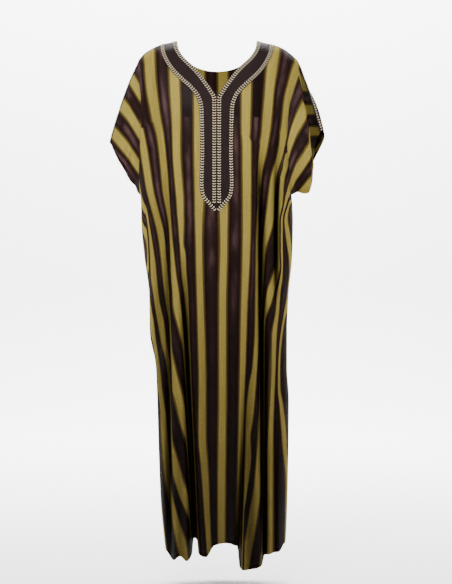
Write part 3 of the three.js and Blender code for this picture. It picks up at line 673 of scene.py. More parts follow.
def make_mesh(name, points, faces, cloth, sharp_degrees=42):
    mesh = bpy.data.meshes.new(name)
    mesh.from_pydata((points * MM).tolist(), [], [[int(v) for v in face] for face in faces])
    corners = np.zeros(len(mesh.loops), dtype=np.int32)
    mesh.loops.foreach_get("vertex_index", corners)
    layer = mesh.uv_layers.new(name="cloth")
    layer.data.foreach_set("uv", (cloth[corners, :2] * MM).astype(np.float32).reshape(-1))
    # A second map, folds, holds painted shade from the troughs and creases, which the cloth's colour is
    # multiplied by
    if cloth.shape[1] > 2:
        light = np.stack([cloth[corners, 2], np.zeros(len(corners))], axis=1)
        mesh.uv_layers.new(name="folds").data.foreach_set("uv", light.astype(np.float32).reshape(-1))
    mesh.polygons.foreach_set("use_smooth", np.ones(len(mesh.polygons), dtype=bool))
    mesh.set_sharp_from_angle(angle=math.radians(sharp_degrees))
    mesh.validate()
    return add_object(name, mesh)


def wall(name, sheet, low, high, material):
    """A closed thin wall between two distances from a sheet"""
    points, normals, cloth, faces = sheet.joined()
    count = len(points)
    both = np.concatenate([points + normals * high, points + normals * low])
    edges = rim_edges(faces)
    rim = np.stack([edges[:, 1], edges[:, 0], edges[:, 0] + count, edges[:, 1] + count], axis=1)
    every = np.concatenate([faces, faces[:, ::-1] + count, rim])
    thing = make_mesh(name, both, every, np.concatenate([cloth, cloth]))
    thing.data.materials.append(material)
    return thing


def seen(points):
    """Where points stand in the picture, on the plane of the shoulders"""
    camera = np.array(CAMERA_PLACE) / MM
    scale = -camera[1] / (points[..., 1] - camera[1])
    across = camera[0] + (points[..., 0] - camera[0]) * scale
    up = camera[2] + (points[..., 2] - camera[2]) * scale
    return across, up


def line_across(line, z):
    """Place of a stripe's line at a height, carried on straight past its ends, and how far it counts"""
    points = table("z across", sorted(line))
    heights, values = points["z"], points["across"]
    low, high = heights[0], heights[-1]
    low_slope = (values[1] - values[0]) / (heights[1] - heights[0])
    high_slope = (values[-1] - values[-2]) / (heights[-1] - heights[-2])
    across = read(points, "z", z, "across")
    across = across + low_slope * np.minimum(0, z - low) + high_slope * np.maximum(0, z - high)
    counts = np.ones(z.shape)
    if low > -1400:
        counts = counts * np.clip((z - low + 25) / 80, 0, 1)
    if high < -200:
        counts = counts * np.clip((high + 60 - z) / 80, 0, 1)
    return across, counts


def by_knots(travel, knots):
    """Cloth distance at travels along a row, from knots of (travel, cloth distance)"""
    travels = np.array([knot[0] for knot in knots])
    places = np.array([knot[1] for knot in knots])
    inside = np.interp(travel, travels, places)
    before = places[0] + travel - travels[0]
    after = places[-1] + travel - travels[-1]
    return np.where(travel < travels[0], before, np.where(travel > travels[-1], after, inside))


def chest_places(row, along):
    """Cloth distance along a row of the chest, from the centre lines of its stripes"""
    across, up = seen(row)
    found = []
    for place, line in STRIPE_LINES.items():
        target, counts = line_across(line, up)
        off = across - target
        crossings = np.nonzero((off[:-1] <= 0) & (off[1:] > 0) & (counts[:-1] > 0))[0]
        if len(crossings) == 0:
            continue
        k = min(crossings, key=lambda index: row[index, 1])
        share = off[k] / (off[k] - off[k + 1])
        found.append((float(mix(along[k], along[k + 1], share)), float(place), float(counts[k])))
    found.sort(key=lambda item: item[1])
    knots = []
    for knot in found:
        if not knots or knot[0] > knots[-1][0] + 12:
            knots.append(knot)
    sure = [knot for knot in knots if knot[2] == 1]
    led = [(travel, float(mix(by_knots(travel, sure), place, counts))) for travel, place, counts in knots]
    return by_knots(along, led)


def pleats_across(row):
    """First and last point of each pleat that a row crosses"""
    found = {}
    for fold in FRONT_FOLDS:
        if fold[0] in PLEATS:
            off, deepest = trough(fold, row[:, 0], row[:, 2])
            low = int(np.searchsorted(off, -1.3 * fold[-2]))
            high = int(np.searchsorted(off, 1.3 * fold[-1]))
            if deepest[low] > 0:
                found[fold[0]] = (low, min(high, len(row) - 1))
    return found


def edge_across(stripe, column, z):
    """Place of one edge of a stripe at a height, carried on straight beyond the stripe's ends"""
    heights, values = stripe["z"], stripe[column]
    low_slope = (values[2] - values[0]) / (heights[2] - heights[0])
    high_slope = (values[-1] - values[-3]) / (heights[-1] - heights[-3])
    beyond = low_slope * np.minimum(0, z - heights[0]) + high_slope * np.maximum(0, z - heights[-1])
    return read(stripe, "z", z, column) + beyond


def zone_places(stripes, across, up):
    """Cloth distance at places of one zone, seen from the camera, from both edges of its light stripes"""
    lines, values = [], []
    for place in sorted(stripes):
        stripe = table("z right left", sorted(stripes[place]))
        for column, step in (("right", -HALF_STRIPE), ("left", HALF_STRIPE)):
            line = edge_across(stripe, column, up)
            lines.append(np.maximum(line, lines[-1] + 3) if lines else line)
            values.append(place + step)
    result = values[0] + 1.2 * (across - lines[0])
    for k in range(len(lines) - 1):
        share = (across - lines[k]) / (lines[k + 1] - lines[k])
        result = np.where(across > lines[k], mix(values[k], values[k + 1], share), result)
    return np.where(across > lines[-1], values[-1] + 1.2 * (across - lines[-1]), result)


def by_zones(row, along, pleats):
    """Cloth distance along a row whose zones between the pleats each follow their own stripes"""
    across, up = seen(row)
    result = np.zeros(len(row))
    start = 0
    for name, stripes in ZONES:
        if name and name not in pleats:
            continue
        end = pleats[name][0] if name else len(row) - 1
        places = zone_places(stripes, across, up)
        result[start:end + 1] = places[start:end + 1]
        if start > 0:
            share = (along[left:start] - along[left]) / (along[start] - along[left])
            result[left:start] = mix(result[left], places[start], share)
        if name:
            left, start = pleats[name]
    nearest, farthest = np.interp((across.min() + 7, across.max() - 7), across, along)
    low, high = np.interp((nearest, farthest), along, result)
    result = np.where(along < nearest, low + along - nearest, result)
    return np.where(along > farthest, high + along - farthest, result)


def stripe_places(row):
    """Distance across the flat cut for each point of one full row of the front, from right to left"""
    flat = row.copy()
    flat[:, 2] = 0
    along = arc_length(flat)
    along = along - np.interp(0, row[:, 0], along)
    pleats = pleats_across(row)
    if not pleats:
        return chest_places(row, along)
    right_share = np.clip((-400 - row[:, 2]) / 160, 0, 1)
    left_share = np.clip((-225 - row[:, 2]) / 70, 0, 1)
    share = soften(mix(right_share, left_share, np.clip(row[:, 0] / 60, 0, 1)))
    zones = by_zones(row, along, pleats)
    return zones if share.min() == 1 else mix(chest_places(row, along), zones, share)


def light_in_folds(grid, folds, creases, shaded):
    """Share of the light that reaches each place, less in shaded troughs and a little less in creases. It is
    painted into the cloth's colour as shade
    """
    light = np.ones(grid.shape[:2])
    for fold in folds + creases:
        strength, full, wide = (0.45, 9.0, 1.3) if fold in creases else (0.94, 22.0, 1.15)
        if fold in creases or fold[0] in shaded:
            off, deepest = trough(fold, grid[..., 0], grid[..., 2])
            reach = wide * np.where(off < 0, fold[-2], fold[-1])
            shade = strength * np.clip(deepest / full, 0, 1) * np.exp(-(off / reach) ** 2)
            light = light * (1 - shade)
    return light


def calmed(places, first):
    """Cloth distances smoothed down the rows, from one row on"""
    for _ in range(3):
        middle = (places[first - 1:-2] + 2 * places[first:-1] + places[first + 1:]) / 4
        places = np.concatenate([places[:first], middle, places[-1:]])
    return places


def straight_on(where, places, values):
    """Values read between places in rising order, carried on straight beyond both ends"""
    inside = np.interp(where, places, values)
    first = (values[1] - values[0]) / (places[1] - places[0])
    last = (values[-1] - values[-2]) / (places[-1] - places[-2])
    inside = np.where(where < places[0], values[0] + first * (where - places[0]), inside)
    return np.where(where > places[-1], values[-1] + last * (where - places[-1]), inside)


def sleeve_stripes(side, ring):
    """Distance across the cut over one sleeve, and its light. The back half mirrors the front half"""
    half = ring.shape[1] // 2
    across, up = seen(ring[:, :half + 1])
    lines = SLEEVE_LINES[side]
    places = sorted(lines)
    heights = []
    for place in places:
        points = np.array(sorted(lines[place]), float)
        heights.append(straight_on(across, points[:, 0], points[:, 1]))
    values = np.full(across.shape, float(places[0]))
    for k in range(len(places) - 1):
        share = (heights[k] - up) / (heights[k] - heights[k + 1])
        low = -np.inf if k == 0 else 0
        high = np.inf if k == len(places) - 2 else 1
        step = np.clip(share, low, high)
        here = share > low if k else np.ones(share.shape, dtype=bool)
        values = np.where(here, mix(places[k], places[k + 1], step), values)
    if side > 0:
        edge = read(LEFT_FOLD, "z", up, "across")
        turned = straight_on(-up, -LEFT_FOLD_STRIPES["z"], LEFT_FOLD_STRIPES["place"])
        share = np.clip((across - edge + 3) / 6, 0, 1)
        values = mix(values, turned, soften(share))
        # Painted shade: the face turned away beyond the fold keeps 0.3 of its colour
        light = mix(1, 0.3, share)
    else:
        light = np.ones(values.shape)
    return [np.concatenate([first, first[:, :-1][:, ::-1]], axis=1) for first in (values, light)]


def tint(red, green, blue):
    """A colour as a picture shows it, turned into the amounts of light that materials take"""
    def channel(value):
        share = value / 255
        return share / 12.92 if share <= 0.04045 else ((share + 0.055) / 1.055) ** 2.4
    return channel(red), channel(green), channel(blue), 1.0


class Nodes:
    """Short ways to add and join the nodes of one material"""

    def __init__(self, name):
        self.material = bpy.data.materials.new(name)
        self.material.use_nodes = True
        self.tree = self.material.node_tree
        self.surface = self.tree.nodes["Principled BSDF"]

    def set(self, socket, value):
        if isinstance(value, bpy.types.NodeSocket):
            self.tree.links.new(value, socket)
        else:
            socket.default_value = value

    def math(self, operation, a, b=0.0, c=0.0):
        node = self.tree.nodes.new("ShaderNodeMath")
        node.operation = operation
        for socket, value in zip(node.inputs, (a, b, c)):
            self.set(socket, value)
        return node.outputs[0]

    def times(self, a, b):
        return self.math("MULTIPLY", a, b)

    def ramp(self, value, low, high, to_low=0.0, to_high=1.0):
        node = self.tree.nodes.new("ShaderNodeMapRange")
        node.interpolation_type = "SMOOTHSTEP"
        for socket, amount in zip(node.inputs, (value, low, high, to_low, to_high)):
            self.set(socket, amount)
        return node.outputs[0]

    def blend(self, share, first, second, kind="MIX"):
        node = self.tree.nodes.new("ShaderNodeMix")
        node.data_type = "RGBA"
        node.blend_type = kind
        self.set(node.inputs[0], share)
        self.set(node.inputs[6], first)
        self.set(node.inputs[7], second)
        return node.outputs[2]

    def place(self, across, along):
        node = self.tree.nodes.new("ShaderNodeCombineXYZ")
        self.set(node.inputs[0], across)
        self.set(node.inputs[1], along)
        return node.outputs[0]

    def noise(self, place, scale, detail=2.0):
        node = self.tree.nodes.new("ShaderNodeTexNoise")
        self.set(node.inputs["Vector"], place)
        self.set(node.inputs["Scale"], scale)
        self.set(node.inputs["Detail"], detail)
        return node.outputs[0]

    def bump(self, height, strength, distance):
        node = self.tree.nodes.new("ShaderNodeBump")
        self.set(node.inputs["Height"], height)
        self.set(node.inputs["Strength"], strength)
        self.set(node.inputs["Distance"], distance)
        self.set(self.surface.inputs["Normal"], node.outputs[0])

    def uv(self, name):
        uv = self.tree.nodes.new("ShaderNodeUVMap")
        uv.uv_map = name
        split = self.tree.nodes.new("ShaderNodeSeparateXYZ")
        self.set(split.inputs[0], uv.outputs[0])
        return split.outputs

    def cloth_place(self):
        """Distance across the cut and along the warp, in millimetres"""
        place = self.uv("cloth")
        return self.times(place[0], 1 / MM), self.times(place[1], 1 / MM)

    def threads(self, across, along, across_scale, along_scale, detail):
        """Noise drawn out along the threads"""
        place = self.place(self.times(across, across_scale), self.times(along, along_scale))
        return self.noise(place, 1.0, detail)

    def strip(self, value, low, high, edge):
        """1 between two values, fading to 0 at its edges"""
        return self.times(self.ramp(value, low, low + edge), self.ramp(value, high, high - edge))

    def look(self, colour, light, roughness, gleam):
        """The surface: a colour, the light it is shown in, and how it shines"""
        shade = self.tree.nodes.new("ShaderNodeCombineColor")
        for socket in shade.inputs:
            self.set(socket, light)
        lit = self.blend(1.0, colour, shade.outputs[0], "MULTIPLY")
        inputs = self.surface.inputs
        for name, value in (("Base Color", lit), ("Roughness", roughness), ("Specular IOR Level", gleam)):
            self.set(inputs[name], value)


def striped_cloth(front):
    """Satin stripes: olive, a dim olive line and dark plum. Every colour darkens towards the hem as painted
    shade, and the upper dark stripes carry a painted mauve sheen. The front's stripes beside the neck are
    darker
    """
    n = Nodes("striped_cloth_front" if front else "striped_cloth")
    across, along = n.cloth_place()
    off = n.math("PINGPONG", n.math("SUBTRACT", across, 16.0), STRIPE_PERIOD / 2)
    olive_share = n.ramp(off, 13.4, 10.8)
    dark_share = n.ramp(off, 17.6, 19.6)
    # Painted shade: from the chest to the hem every stripe colour is blended towards a darker one, standing
    # in for light falling off downwards
    fade = n.ramp(along, 150.0, 1350.0)
    long_thread = n.threads(across, along, 0.9, 0.012, 3.0)
    short_thread = n.threads(across, along, 0.45, 0.16, 3.0)
    olive = n.blend(fade, tint(162, 144, 70), tint(106, 92, 46))
    inner_line = n.blend(fade, tint(102, 86, 44), tint(80, 66, 34))
    outer_line = n.blend(fade, tint(64, 49, 29), tint(48, 35, 20))
    line = n.blend(n.ramp(off, 12.5, 18.0), inner_line, outer_line)
    # Painted sheen: on the upper part, noise patches blend the dark stripes' middles towards a pale mauve, a
    # painted satin highlight
    sheen_on_upper = n.ramp(along, 900.0, 300.0)
    sheen_patches = n.threads(across, along, 0.021, 0.008, 2.0)
    gleam = n.times(sheen_on_upper, n.ramp(sheen_patches, 0.42, 0.68))
    # The dark stripes are lighter in the middle than at their edges: painted satin sheen on their own dark
    # colour
    dark_edge = n.blend(fade, tint(33, 21, 19), tint(15, 9, 7))
    dark_middle_with_sheen = n.blend(gleam, n.blend(fade, tint(43, 29, 27), tint(20, 13, 10)), tint(86, 61, 62))
    dark = n.blend(n.ramp(off, 20.0, 31.0), dark_edge, dark_middle_with_sheen)
    if front:
        beside_both = n.math("ADD", n.strip(across, -99.0, -61.5, 1.5), n.strip(across, 93.0, 131.0, 1.5))
        beside = n.math("ADD", beside_both, n.strip(across, 46.0, 66.0, 2.0))
        shaded = n.times(beside, n.ramp(along, 216.0, 211.0))
        dark = n.blend(shaded, dark, tint(27, 16, 13))
    colour = n.blend(dark_share, n.blend(olive_share, line, olive), dark)
    streak = n.ramp(long_thread, 0.3, 0.7, 0.80, 1.16)
    mottle = n.ramp(short_thread, 0.3, 0.7, 0.88, 1.10)
    # The thread streaks and mottle are the cloth's own; the folds map multiplies in painted shade
    n.look(colour, n.times(n.times(streak, mottle), n.uv("folds")[0]), 0.6, 0.0)
    n.set(n.surface.inputs["Coat Weight"], n.ramp(dark_share, 0.0, 1.0, 0.03, 0.08))
    n.set(n.surface.inputs["Coat Roughness"], 0.42)
    weft = n.math("SINE", n.times(along, 7.0))
    warp = n.math("SINE", n.times(across, 9.0))
    rib = n.math("ADD", n.times(weft, warp), n.times(long_thread, 1.5))
    n.bump(rib, 0.25, 0.0003)
    return n.material


def ribbed(name, colour, roughness, step, depth):
    """Plain band cloth or thread with fine ribs"""
    n = Nodes(name)
    across, along = n.cloth_place()
    grain = n.threads(across, along, 0.8, 0.8, 2.0)
    n.look(colour, n.ramp(grain, 0.3, 0.7, 0.85, 1.12), roughness, 0.06)
    n.bump(n.math("SINE", n.times(along, 2 * math.pi / step)), 0.4, depth)
    return n.material


CLOTH_FRONT = striped_cloth(True)
CLOTH_PLAIN = striped_cloth(False)
BAND = ribbed("band_cloth", tint(40, 28, 29), 0.6, 2.2, 0.0003)
THREAD = ribbed("braid_thread", tint(226, 212, 176), 0.6, 1.1, 0.0002)
SEWING = ribbed("sewing_thread", tint(48, 36, 32), 0.55, 1.0, 0.0001)


# Sewing stitches and the slanting stitches of a braid: their step, and their length, width and height. Each
# column of slanting stitches stands off the braid's middle by a share of its width.
SEWING_STEP = 4.0
SEWING_SIZE = (2.6, 0.9, 0.6)
SEWING_LIFT = 0.15
CHEVRON_STEP = 6.8
CHEVRON_START = 3.2
CHEVRON_SIZE = (5.4, 2.5, 1.5)
CHEVRON_COLUMN = 0.235
CHEVRON_SLANT = (0.50, 0.87)
NARROWEST_BRAID = 0.55 * 10.5


def threads(name, places, along, up, size, sides, rings, material):
    """Many short threads as one piece. size is each one's length, width and height"""
    turn = np.linspace(0, 2 * math.pi, sides, endpoint=False)
    slope = np.linspace(0, math.pi, rings + 1)
    unit = [(-1, 0, 0)]
    for angle in slope[1:-1]:
        reach = math.sin(angle) ** 0.7
        unit += [(-math.cos(angle), reach * math.cos(t), reach * math.sin(t)) for t in turn]
    unit.append((1, 0, 0))
    unit = np.array(unit) * np.array(size) / 2
    faces = []
    last = len(unit) - 1
    for k in range(sides):
        after = (k + 1) % sides
        faces.append((0, 1 + after, 1 + k))
        faces.append((last, last - sides + k, last - sides + after))
        for ring in range(rings - 2):
            low = 1 + ring * sides
            faces.append((low + k, low + after, low + sides + after))
            faces.append((low + k, low + sides + after, low + sides + k))
    along = one_long(along)
    across = one_long(np.cross(up, along))
    up = np.cross(along, across)
    points = (places[:, None] + unit[None, :, :1] * along[:, None] + unit[None, :, 1:2] * across[:, None]
              + unit[None, :, 2:] * up[:, None])
    every = (np.array(faces)[None] + (np.arange(len(places)) * len(unit))[:, None, None]).reshape(-1, 3)
    lengthwise = np.tile(np.stack([unit[:, 1], unit[:, 0]], axis=1), (len(places), 1))
    thing = make_mesh(name, points.reshape(-1, 3), every, lengthwise, 60)
    thing.data.materials.append(material)
    return thing


def along_line(points, normals, step, start=0.0):
    """Places evenly spaced on a line, with the line's direction and outward direction at each"""
    travel = arc_length(points)
    count = max(2, int(round((travel[-1] - 2 * start) / step)))
    where = np.linspace(start, travel[-1] - start, count)
    place = read_points(where, travel, points)
    up = one_long(read_points(where, travel, normals))
    return place, np.gradient(place, axis=0), up


def running_stitch(name, lines):
    """Small even stitches along one or more lines of a sheet"""
    spots = [along_line(points, normals, SEWING_STEP, SEWING_STEP) for points, normals in lines]
    place, along, up = [np.concatenate(part) for part in zip(*spots)]
    return threads(name, place + up * SEWING_LIFT, along, up, SEWING_SIZE, 5, 3, SEWING)


def chevrons(name, strip, lift):
    """Slanting stitches in two columns down the middle of a strip, pointing the way it runs"""
    points, normals = strip
    half = points.shape[1] // 2
    middle, up_middle = points[:, half], normals[:, half]
    place, along, up = along_line(middle, up_middle, CHEVRON_STEP, CHEVRON_START)
    along = one_long(along)
    across = np.cross(up, along)
    width = np.linalg.norm(points[:, -1] - points[:, 0], axis=1)
    wide = np.interp(arc_length(place) + CHEVRON_START, arc_length(middle), width)
    spots, ways = [], []
    for hand in SIDES:
        spots.append(place + across * (hand * wide * CHEVRON_COLUMN)[:, None])
        ways.append(along * CHEVRON_SLANT[0] - across * hand * CHEVRON_SLANT[1])
    keep = np.tile(wide > NARROWEST_BRAID, 2)
    both_up = np.tile(up, (2, 1))[keep]
    places = np.concatenate(spots)[keep] + both_up * lift
    return threads(name, places, np.concatenate(ways)[keep], both_up, CHEVRON_SIZE, 6, 4, THREAD)


def level(normals):
    """Outward directions of a seam that front and back share"""
    flat = normals.copy()
    flat[..., 1] = 0
    return one_long(flat)


def nudge(line, towards, distance):
    """A line of points moved a little towards another"""
    way = towards - line
    return line + way * (distance / np.linalg.norm(way, axis=-1, keepdims=True))


def panel(face, halves, normals, cloth, joined_from):
    """One sheet from its two halves, joined at the centre from one row down"""
    sheet = Sheet()
    count = halves[-1].shape[:2]
    right = sheet.add_points(halves[-1], normals[-1], cloth[-1]).reshape(count)
    left = sheet.add_points(halves[1], normals[1], cloth[1]).reshape(count)
    left[joined_from:, 0] = right[joined_from:, 0]
    sheet.add_cells(right, face > 0)
    sheet.add_cells(left, face < 0)
    return sheet


def drop_unused(sheet):
    """The same sheet without the points that no face uses"""
    points, normals, cloth, faces = sheet.joined()
    used = np.zeros(len(points), dtype=bool)
    used[faces.reshape(-1)] = True
    place = np.cumsum(used) - 1
    sheet.points, sheet.normals, sheet.cloth = [points[used]], [normals[used]], [cloth[used]]
    sheet.faces = [place[faces]]
    return sheet


front = {side: front_rows(side) for side in SIDES}
back = {side: back_rows(side) for side in SIDES}

# Distances across the cut and along the warp
whole_rows = [np.concatenate([right[::-1], left]) for right, left in zip(front[-1], front[1])]
places = calmed(np.array([stripe_places(row) for row in whole_rows]), FRONT_ARMHOLE + 4)
half_count = front[-1].shape[1]
front_across = {-1: places[:, :half_count][:, ::-1], 1: places[:, half_count:]}
back_across = {}
for side in SIDES:
    flat = back[side].copy()
    flat[..., 2] = 0
    back_across[side] = side * across_rows(flat)
front_cloth, back_cloth = {}, {}
for side in SIDES:
    # Painted shade for the troughs and creases, kept in the third place of the cloth coordinates
    light = light_in_folds(front[side], FRONT_FOLDS, FRONT_CREASES, SHADED)
    front_cloth[side] = np.stack([front_across[side], -front[side][..., 2], light], axis=-1)
    light = light_in_folds(back[side], BACK_FOLDS, BACK_CREASES, ())
    back_cloth[side] = np.stack([back_across[side], -back[side][..., 2], light], axis=-1)

# Outward directions, alike on both sides of each seam
front_out, back_out = {}, {}
for side in SIDES:
    front_out[side] = grid_normals(front[side]) * (side * 1.0)
    back_out[side] = grid_normals(back[side]) * (-side * 1.0)
    if front_out[side][60:, :, 1].mean() > 0:
        front_out[side] *= -1
    if back_out[side][40:, :, 1].mean() < 0:
        back_out[side] *= -1
    seam_front = front[side][0, :, 1] > -1e-6
    seam_back = back[side][0, :, 1] < 1e-6
    front_out[side][0, seam_front] = level(front_out[side][0, seam_front])
    back_out[side][0, seam_back] = level(back_out[side][0, seam_back])
    front_out[side][FRONT_ARMHOLE:, -1] = level(front_out[side][FRONT_ARMHOLE:, -1])
    back_out[side][BACK_ARMHOLE:, -1] = level(back_out[side][BACK_ARMHOLE:, -1])
for out, first in ((front_out, SLIT_ROW), (back_out, 0)):
    shared = one_long(out[-1][first:, 0] + out[1][first:, 0])
    out[-1][first:, 0] = shared
    out[1][first:, 0] = shared

SLEEVES = {-1: SLEEVE_RIGHT, 1: SLEEVE_LEFT}
rings, ring_out, ring_cloth = {}, {}, {}
for side in SIDES:
    loop = armhole(front[side], back[side])
    travel = arc_length(loop)
    under = travel[FRONT_ARMHOLE]
    turns = np.where(travel <= under, travel / under, 1 + (travel - under) / (travel[-1] - under))
    ring = sleeve_rings(SLEEVES[side], loop, turns)
    out = grid_normals(ring, closed=True)
    if ((ring - ring.mean(axis=1, keepdims=True)) * out).sum() < 0:
        out = -out
    out[0] = one_long(read_points(RING_TURN, turns, armhole(front_out[side], back_out[side])) + out[0])
    at_loop = read_points(turns, RING_TURN, out[0])
    front_out[side][:FRONT_ARMHOLE + 1, -1] = at_loop[:FRONT_ARMHOLE + 1]
    back_out[side][:BACK_ARMHOLE + 1, -1] = at_loop[FRONT_ARMHOLE:][::-1]
    front_out[side][0, -1] = level(front_out[side][0, -1])
    back_out[side][0, -1] = level(back_out[side][0, -1])
    across, light = sleeve_stripes(side, ring)
    around = np.minimum(RING_TURN, 2 - RING_TURN) * travel[-1] / 2
    ring_cloth[side] = np.stack([side * across, np.broadcast_to(around, across.shape), light], axis=-1)
    rings[side], ring_out[side] = ring, out

# The seams part by a hair, and the cloth dips a little into each
smooth_front = {side: front[side].copy() for side in (-1, 1)}
smooth_back = {side: back[side].copy() for side in (-1, 1)}
smooth_rings = {side: rings[side].copy() for side in (-1, 1)}
for side in SIDES:
    for grid, out in ((front[side], front_out[side]), (back[side], back_out[side])):
        on_top = np.abs(grid[0, :, 1]) < 1e-6
        grid[:, -1] = nudge(grid[:, -1], grid[:, -2], HALF_GAP) - out[:, -1] * SEAM_DIP
        grid[0, on_top] = nudge(grid[0, on_top], grid[1, on_top], HALF_GAP) - out[0, on_top] * SEAM_DIP
    ring, out = rings[side], ring_out[side]
    ring[0] = nudge(ring[0], ring[1], HALF_GAP) - out[0] * SEAM_DIP

made = {}
sheet = drop_unused(panel(-1, front, front_out, front_cloth, SLIT_ROW))
made["front"] = wall("front_cloth", sheet, -CLOTH, 0, CLOTH_FRONT)
sheet = drop_unused(panel(1, back, back_out, back_cloth, 0))
made["back"] = wall("back_cloth", sheet, -CLOTH, 0, CLOTH_PLAIN)
for side in SIDES:
    sheet = Sheet()
    open_ring = [part[side][:, :-1] for part in (rings, ring_out, ring_cloth)]
    index = sheet.add_points(*open_ring).reshape(SLEEVE_ALONG + 1, SLEEVE_AROUND)
    index = np.concatenate([index, index[:, :1]], axis=1)
    sheet.add_cells(index, side < 0)
    made[f"sleeve_{NAMES[side]}"] = wall(f"sleeve_{NAMES[side]}_cloth", sheet, -CLOTH, 0, CLOTH_PLAIN)


# Strips laid on the cloth
BAND_LIFT = (0.4, 1.7)
BASE_LIFT = (1.9, 2.4)
STITCH_LIFT = 2.7


def strip_normals(grid, outward, on_seam):
    """Outward directions of a strip, level where it meets the shoulder seam"""
    out = grid_normals(grid)
    if (out[len(out) // 2] @ np.asarray(outward, float)).sum() < 0:
        out = -out
    out[0] = level(out[0])
    if on_seam:
        out[-1] = level(out[-1])
    return out


def front_strip(side, last_row, from_to, columns):
    """A strip along the neckline and slit, between two distances on each row"""
    rows = []
    for row in row_steps(10, 7, last_row):
        height_at = front_heights(side, row)[0]
        low, high = from_to(chest(row, "innerX"), chest(row, "outerX"))
        distance = np.linspace(low, high, columns + 1)
        rows.append(body_point(-1, side, distance, height_at(distance)))
    grid = np.array(rows)
    grid[0, :, 1] = -HALF_GAP
    return grid, strip_normals(grid, (0, -1, 0.2), False)


def back_strip(low, high, columns):
    """A strip round the back neck between two shares of the band's width"""
    half = 1 - (np.arange(46) / 46) ** 1.7
    angles = np.concatenate([-half, [0], half[::-1]]) * math.pi / 2
    share = np.linspace(low, high, columns + 1)
    across = mix(BACK_NECK["half"], BACK_BAND["half"], share)
    drop = mix(BACK_NECK["drop"], BACK_BAND["drop"], share)
    grid = np.zeros((len(angles), columns + 1, 3))
    for k, angle in enumerate(angles):
        side = -1 if angle < 0 else 1
        top = shoulder_line(side, across)
        distance = across * abs(math.sin(angle))
        grid[k] = body_point(1, side, distance, top - drop * math.cos(angle))
    grid[0, :, 1] = HALF_GAP
    grid[-1, :, 1] = HALF_GAP
    return grid, strip_normals(grid, (0, 1, 0.2), True)


def shoulder_strip(side, half_across, columns):
    """A strip over the shoulder, from the neck band down the top of the sleeve to the cuff"""
    offsets = np.linspace(-half_across, half_across, columns + 1)
    rows = []
    edge = float(half_width(side, np.array(SHOULDER_TIP)))
    drops = 40 * np.linspace(0, 1, 240) ** 2.6
    for distance in np.linspace(BACK_BAND["half"] + GAP, edge, 14)[:-1]:
        crest = float(shoulder_line(side, np.array(distance)))
        before = body_point(-1, side, distance, crest - drops)
        behind = body_point(1, side, distance, crest - drops)
        before[0, 1] = behind[0, 1] = 0
        rows.append([on_line(before if offset < 0 else behind, abs(offset)) for offset in offsets])
    for line in smooth_rings[side]:
        rows.append([on_line(line if offset < 0 else line[::-1], abs(offset)) for offset in offsets])
    grid = np.array(rows)
    out = grid_normals(grid)
    if (out @ np.array([side * 0.7, 0, 0.7])).sum() < 0:
        out = -out
    return grid, out


def strip_sheet(strip):
    grid, out = strip
    sheet = Sheet()
    middle = grid[:, grid.shape[1] // 2]
    along = np.repeat(arc_length(middle)[:, None], grid.shape[1], axis=1)
    cloth = np.stack([across_rows(grid), along], axis=-1)
    index = sheet.add_points(grid, out, cloth).reshape(grid.shape[:2])
    first = np.cross(grid[1, 1] - grid[1, 0], grid[2, 0] - grid[1, 0])
    sheet.add_cells(index, float(first @ out[1, 0]) < 0)
    return sheet


def lay(name, strip, lifts, material):
    return wall(name, strip_sheet(strip), lifts[0], lifts[1], material)


def inner_braid(inner, outer):
    """Distances between which the inner braid lies on a row of the band"""
    return inner + 0.5, inner + BRAID_WIDTH


def outer_braid(inner, outer):
    """Distances between which the outer braid lies on a row of the band"""
    return max(inner + 0.2, outer - BRAID_WIDTH), outer - min(0.5, outer / 10)


strips = {}
for side in SIDES:
    hand = NAMES[side]
    band = front_strip(side, 14, lambda inner, outer: (inner, outer), 12)
    made[f"band_{hand}"] = lay(f"band_{hand}_cloth", band, BAND_LIFT, BAND)
    tape = shoulder_strip(side, TAPE_HALF_WIDTH, 8)
    made[f"tape_{hand}"] = lay(f"tape_{hand}_cloth", tape, BAND_LIFT, BAND)
    strips[f"braid_inner_{hand}"] = front_strip(side, 13, inner_braid, 4)
    strips[f"braid_outer_{hand}"] = front_strip(side, 14, outer_braid, 4)
    strips[f"tape_braid_{hand}"] = shoulder_strip(side, 5.0, 4)
made["band_back"] = lay("band_back_cloth", back_strip(0, 1, 10), BAND_LIFT, BAND)
strips["braid_back_inner"] = back_strip(0.012, 0.24, 4)
strips["braid_back_outer"] = back_strip(0.76, 0.988, 4)
braid_parts = {}
for node, strip in strips.items():
    base = lay(f"{node}_base", strip, BASE_LIFT, BAND)
    braid_parts[node] = (base, chevrons(f"{node}_stitches", strip, STITCH_LIFT))

# Sewing: the hem, the cuffs and the seams
stitches = {}
for node, grids, out in (("front", smooth_front, front_out), ("back", smooth_back, back_out)):
    hem = [(grids[side][-3], out[side][-3]) for side in SIDES]
    stitches[node] = running_stitch(f"{node}_hem_stitches", hem)
for side in SIDES:
    node = f"sleeve_{NAMES[side]}"
    cuff_and_seam = [(smooth_rings[side][row], ring_out[side][row]) for row in (-4, 1)]
    stitches[node] = running_stitch(f"{node}_stitches", cuff_and_seam)

for node, thing in made.items():
    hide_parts(node)
    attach(thing, "root")
for node, (base, stitch) in braid_parts.items():
    for thing, slot in ((stitch, "braid"), (base, "band")):
        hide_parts(node)
        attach(thing, "root")
for thing in stitches.values():
    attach(thing, "root")


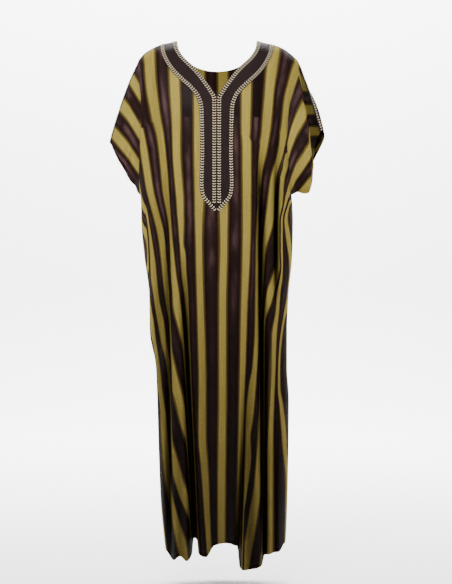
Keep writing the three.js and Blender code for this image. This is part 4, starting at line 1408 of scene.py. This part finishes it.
# The flat cuts, measured along the cloth: width across the stripes or round the tube, length, and area where
# the cut is no rectangle
CUTS = {
    "front": (0.84, 1.42, 0.80),
    "back": (0.70, 1.39, 0.765),
    "sleeve_right": (0.78, 0.22, 0.052),
    "sleeve_left": (0.79, 0.195, 0.060),
    "band_right": (0.057, 0.543, 0.0246),
    "band_left": (0.057, 0.543, 0.0246),
    "band_back": (0.051, 0.42, None),
    "tape_right": (0.019, 0.305, None),
    "tape_left": (0.019, 0.282, None),
}
BRAIDS_ON = {
    "band_right": ("braid_inner_right", "braid_outer_right"),
    "band_left": ("braid_inner_left", "braid_outer_left"),
    "band_back": ("braid_back_inner", "braid_back_outer"),
    "tape_right": ("tape_braid_right",),
    "tape_left": ("tape_braid_left",),
}
for node, (width, length, area) in CUTS.items():
    with_it = [stitches[node]] if node in stitches else []
    for braid in BRAIDS_ON.get(node, ()):
        with_it += braid_parts[braid]


# Stage: a pale floor that bends up into a backdrop
def make_stage():
    floor = -1.46
    reach = [(-7.0, floor), (4.4, floor)]
    for k in range(1, 13):
        angle = math.pi / 2 * k / 12
        reach.append((4.4 + 0.8 * math.sin(angle), floor + 0.8 * (1 - math.cos(angle))))
    reach.append((5.2, 6.0))
    points = [(x, y, z) for y, z in reach for x in (-9.0, 9.0)]
    faces = [(2 * k, 2 * k + 1, 2 * k + 3, 2 * k + 2) for k in range(len(reach) - 1)]
    mesh = bpy.data.meshes.new("stage")
    mesh.from_pydata(points, [], faces)
    mesh.polygons.foreach_set("use_smooth", np.ones(len(faces), dtype=bool))
    n = Nodes("stage_paper")
    n.set(n.surface.inputs["Base Color"], tint(242, 242, 243))
    n.set(n.surface.inputs["Roughness"], 0.9)
    mesh.materials.append(n.material)
    add_object("stage", mesh)


def area_light(name, place, target, size, power):
    data = bpy.data.lights.new(name, "AREA")
    data.shape = "RECTANGLE"
    data.size, data.size_y = size
    data.energy = power
    thing = add_object(name, data)
    thing.location = place
    way = Vector(target) - Vector(place)
    thing.rotation_euler = way.to_track_quat("-Z", "Y").to_euler()


make_stage()
area_light("key", (-0.3, -1.6, 0.95), (0, 0, -0.2), (0.9, 0.7), 52)
area_light("fill", (1.8, -2.2, 0.9), (0, 0, -0.2), (1.0, 1.0), 6)
area_light("backdrop", (0, 2.9, 3.2), (0, 4.6, -1.2), (7.0, 1.2), 1900)
world = bpy.data.worlds.new("studio")
world.use_nodes = True
world.node_tree.nodes["Background"].inputs[0].default_value = (1.0, 1.0, 1.0, 1.0)
world.node_tree.nodes["Background"].inputs[1].default_value = 0.04
bpy.context.scene.world = world

camera_data = bpy.data.cameras.new("camera")
camera_data.sensor_fit = "VERTICAL"
camera_data.sensor_height = SENSOR
camera_data.lens = SENSOR * -CAMERA_PLACE[1] / PICTURE_HEIGHT
camera = add_object("camera", camera_data)
camera.location = CAMERA_PLACE
camera.rotation_euler = (math.pi / 2, 0, 0)
bpy.context.scene.camera = camera
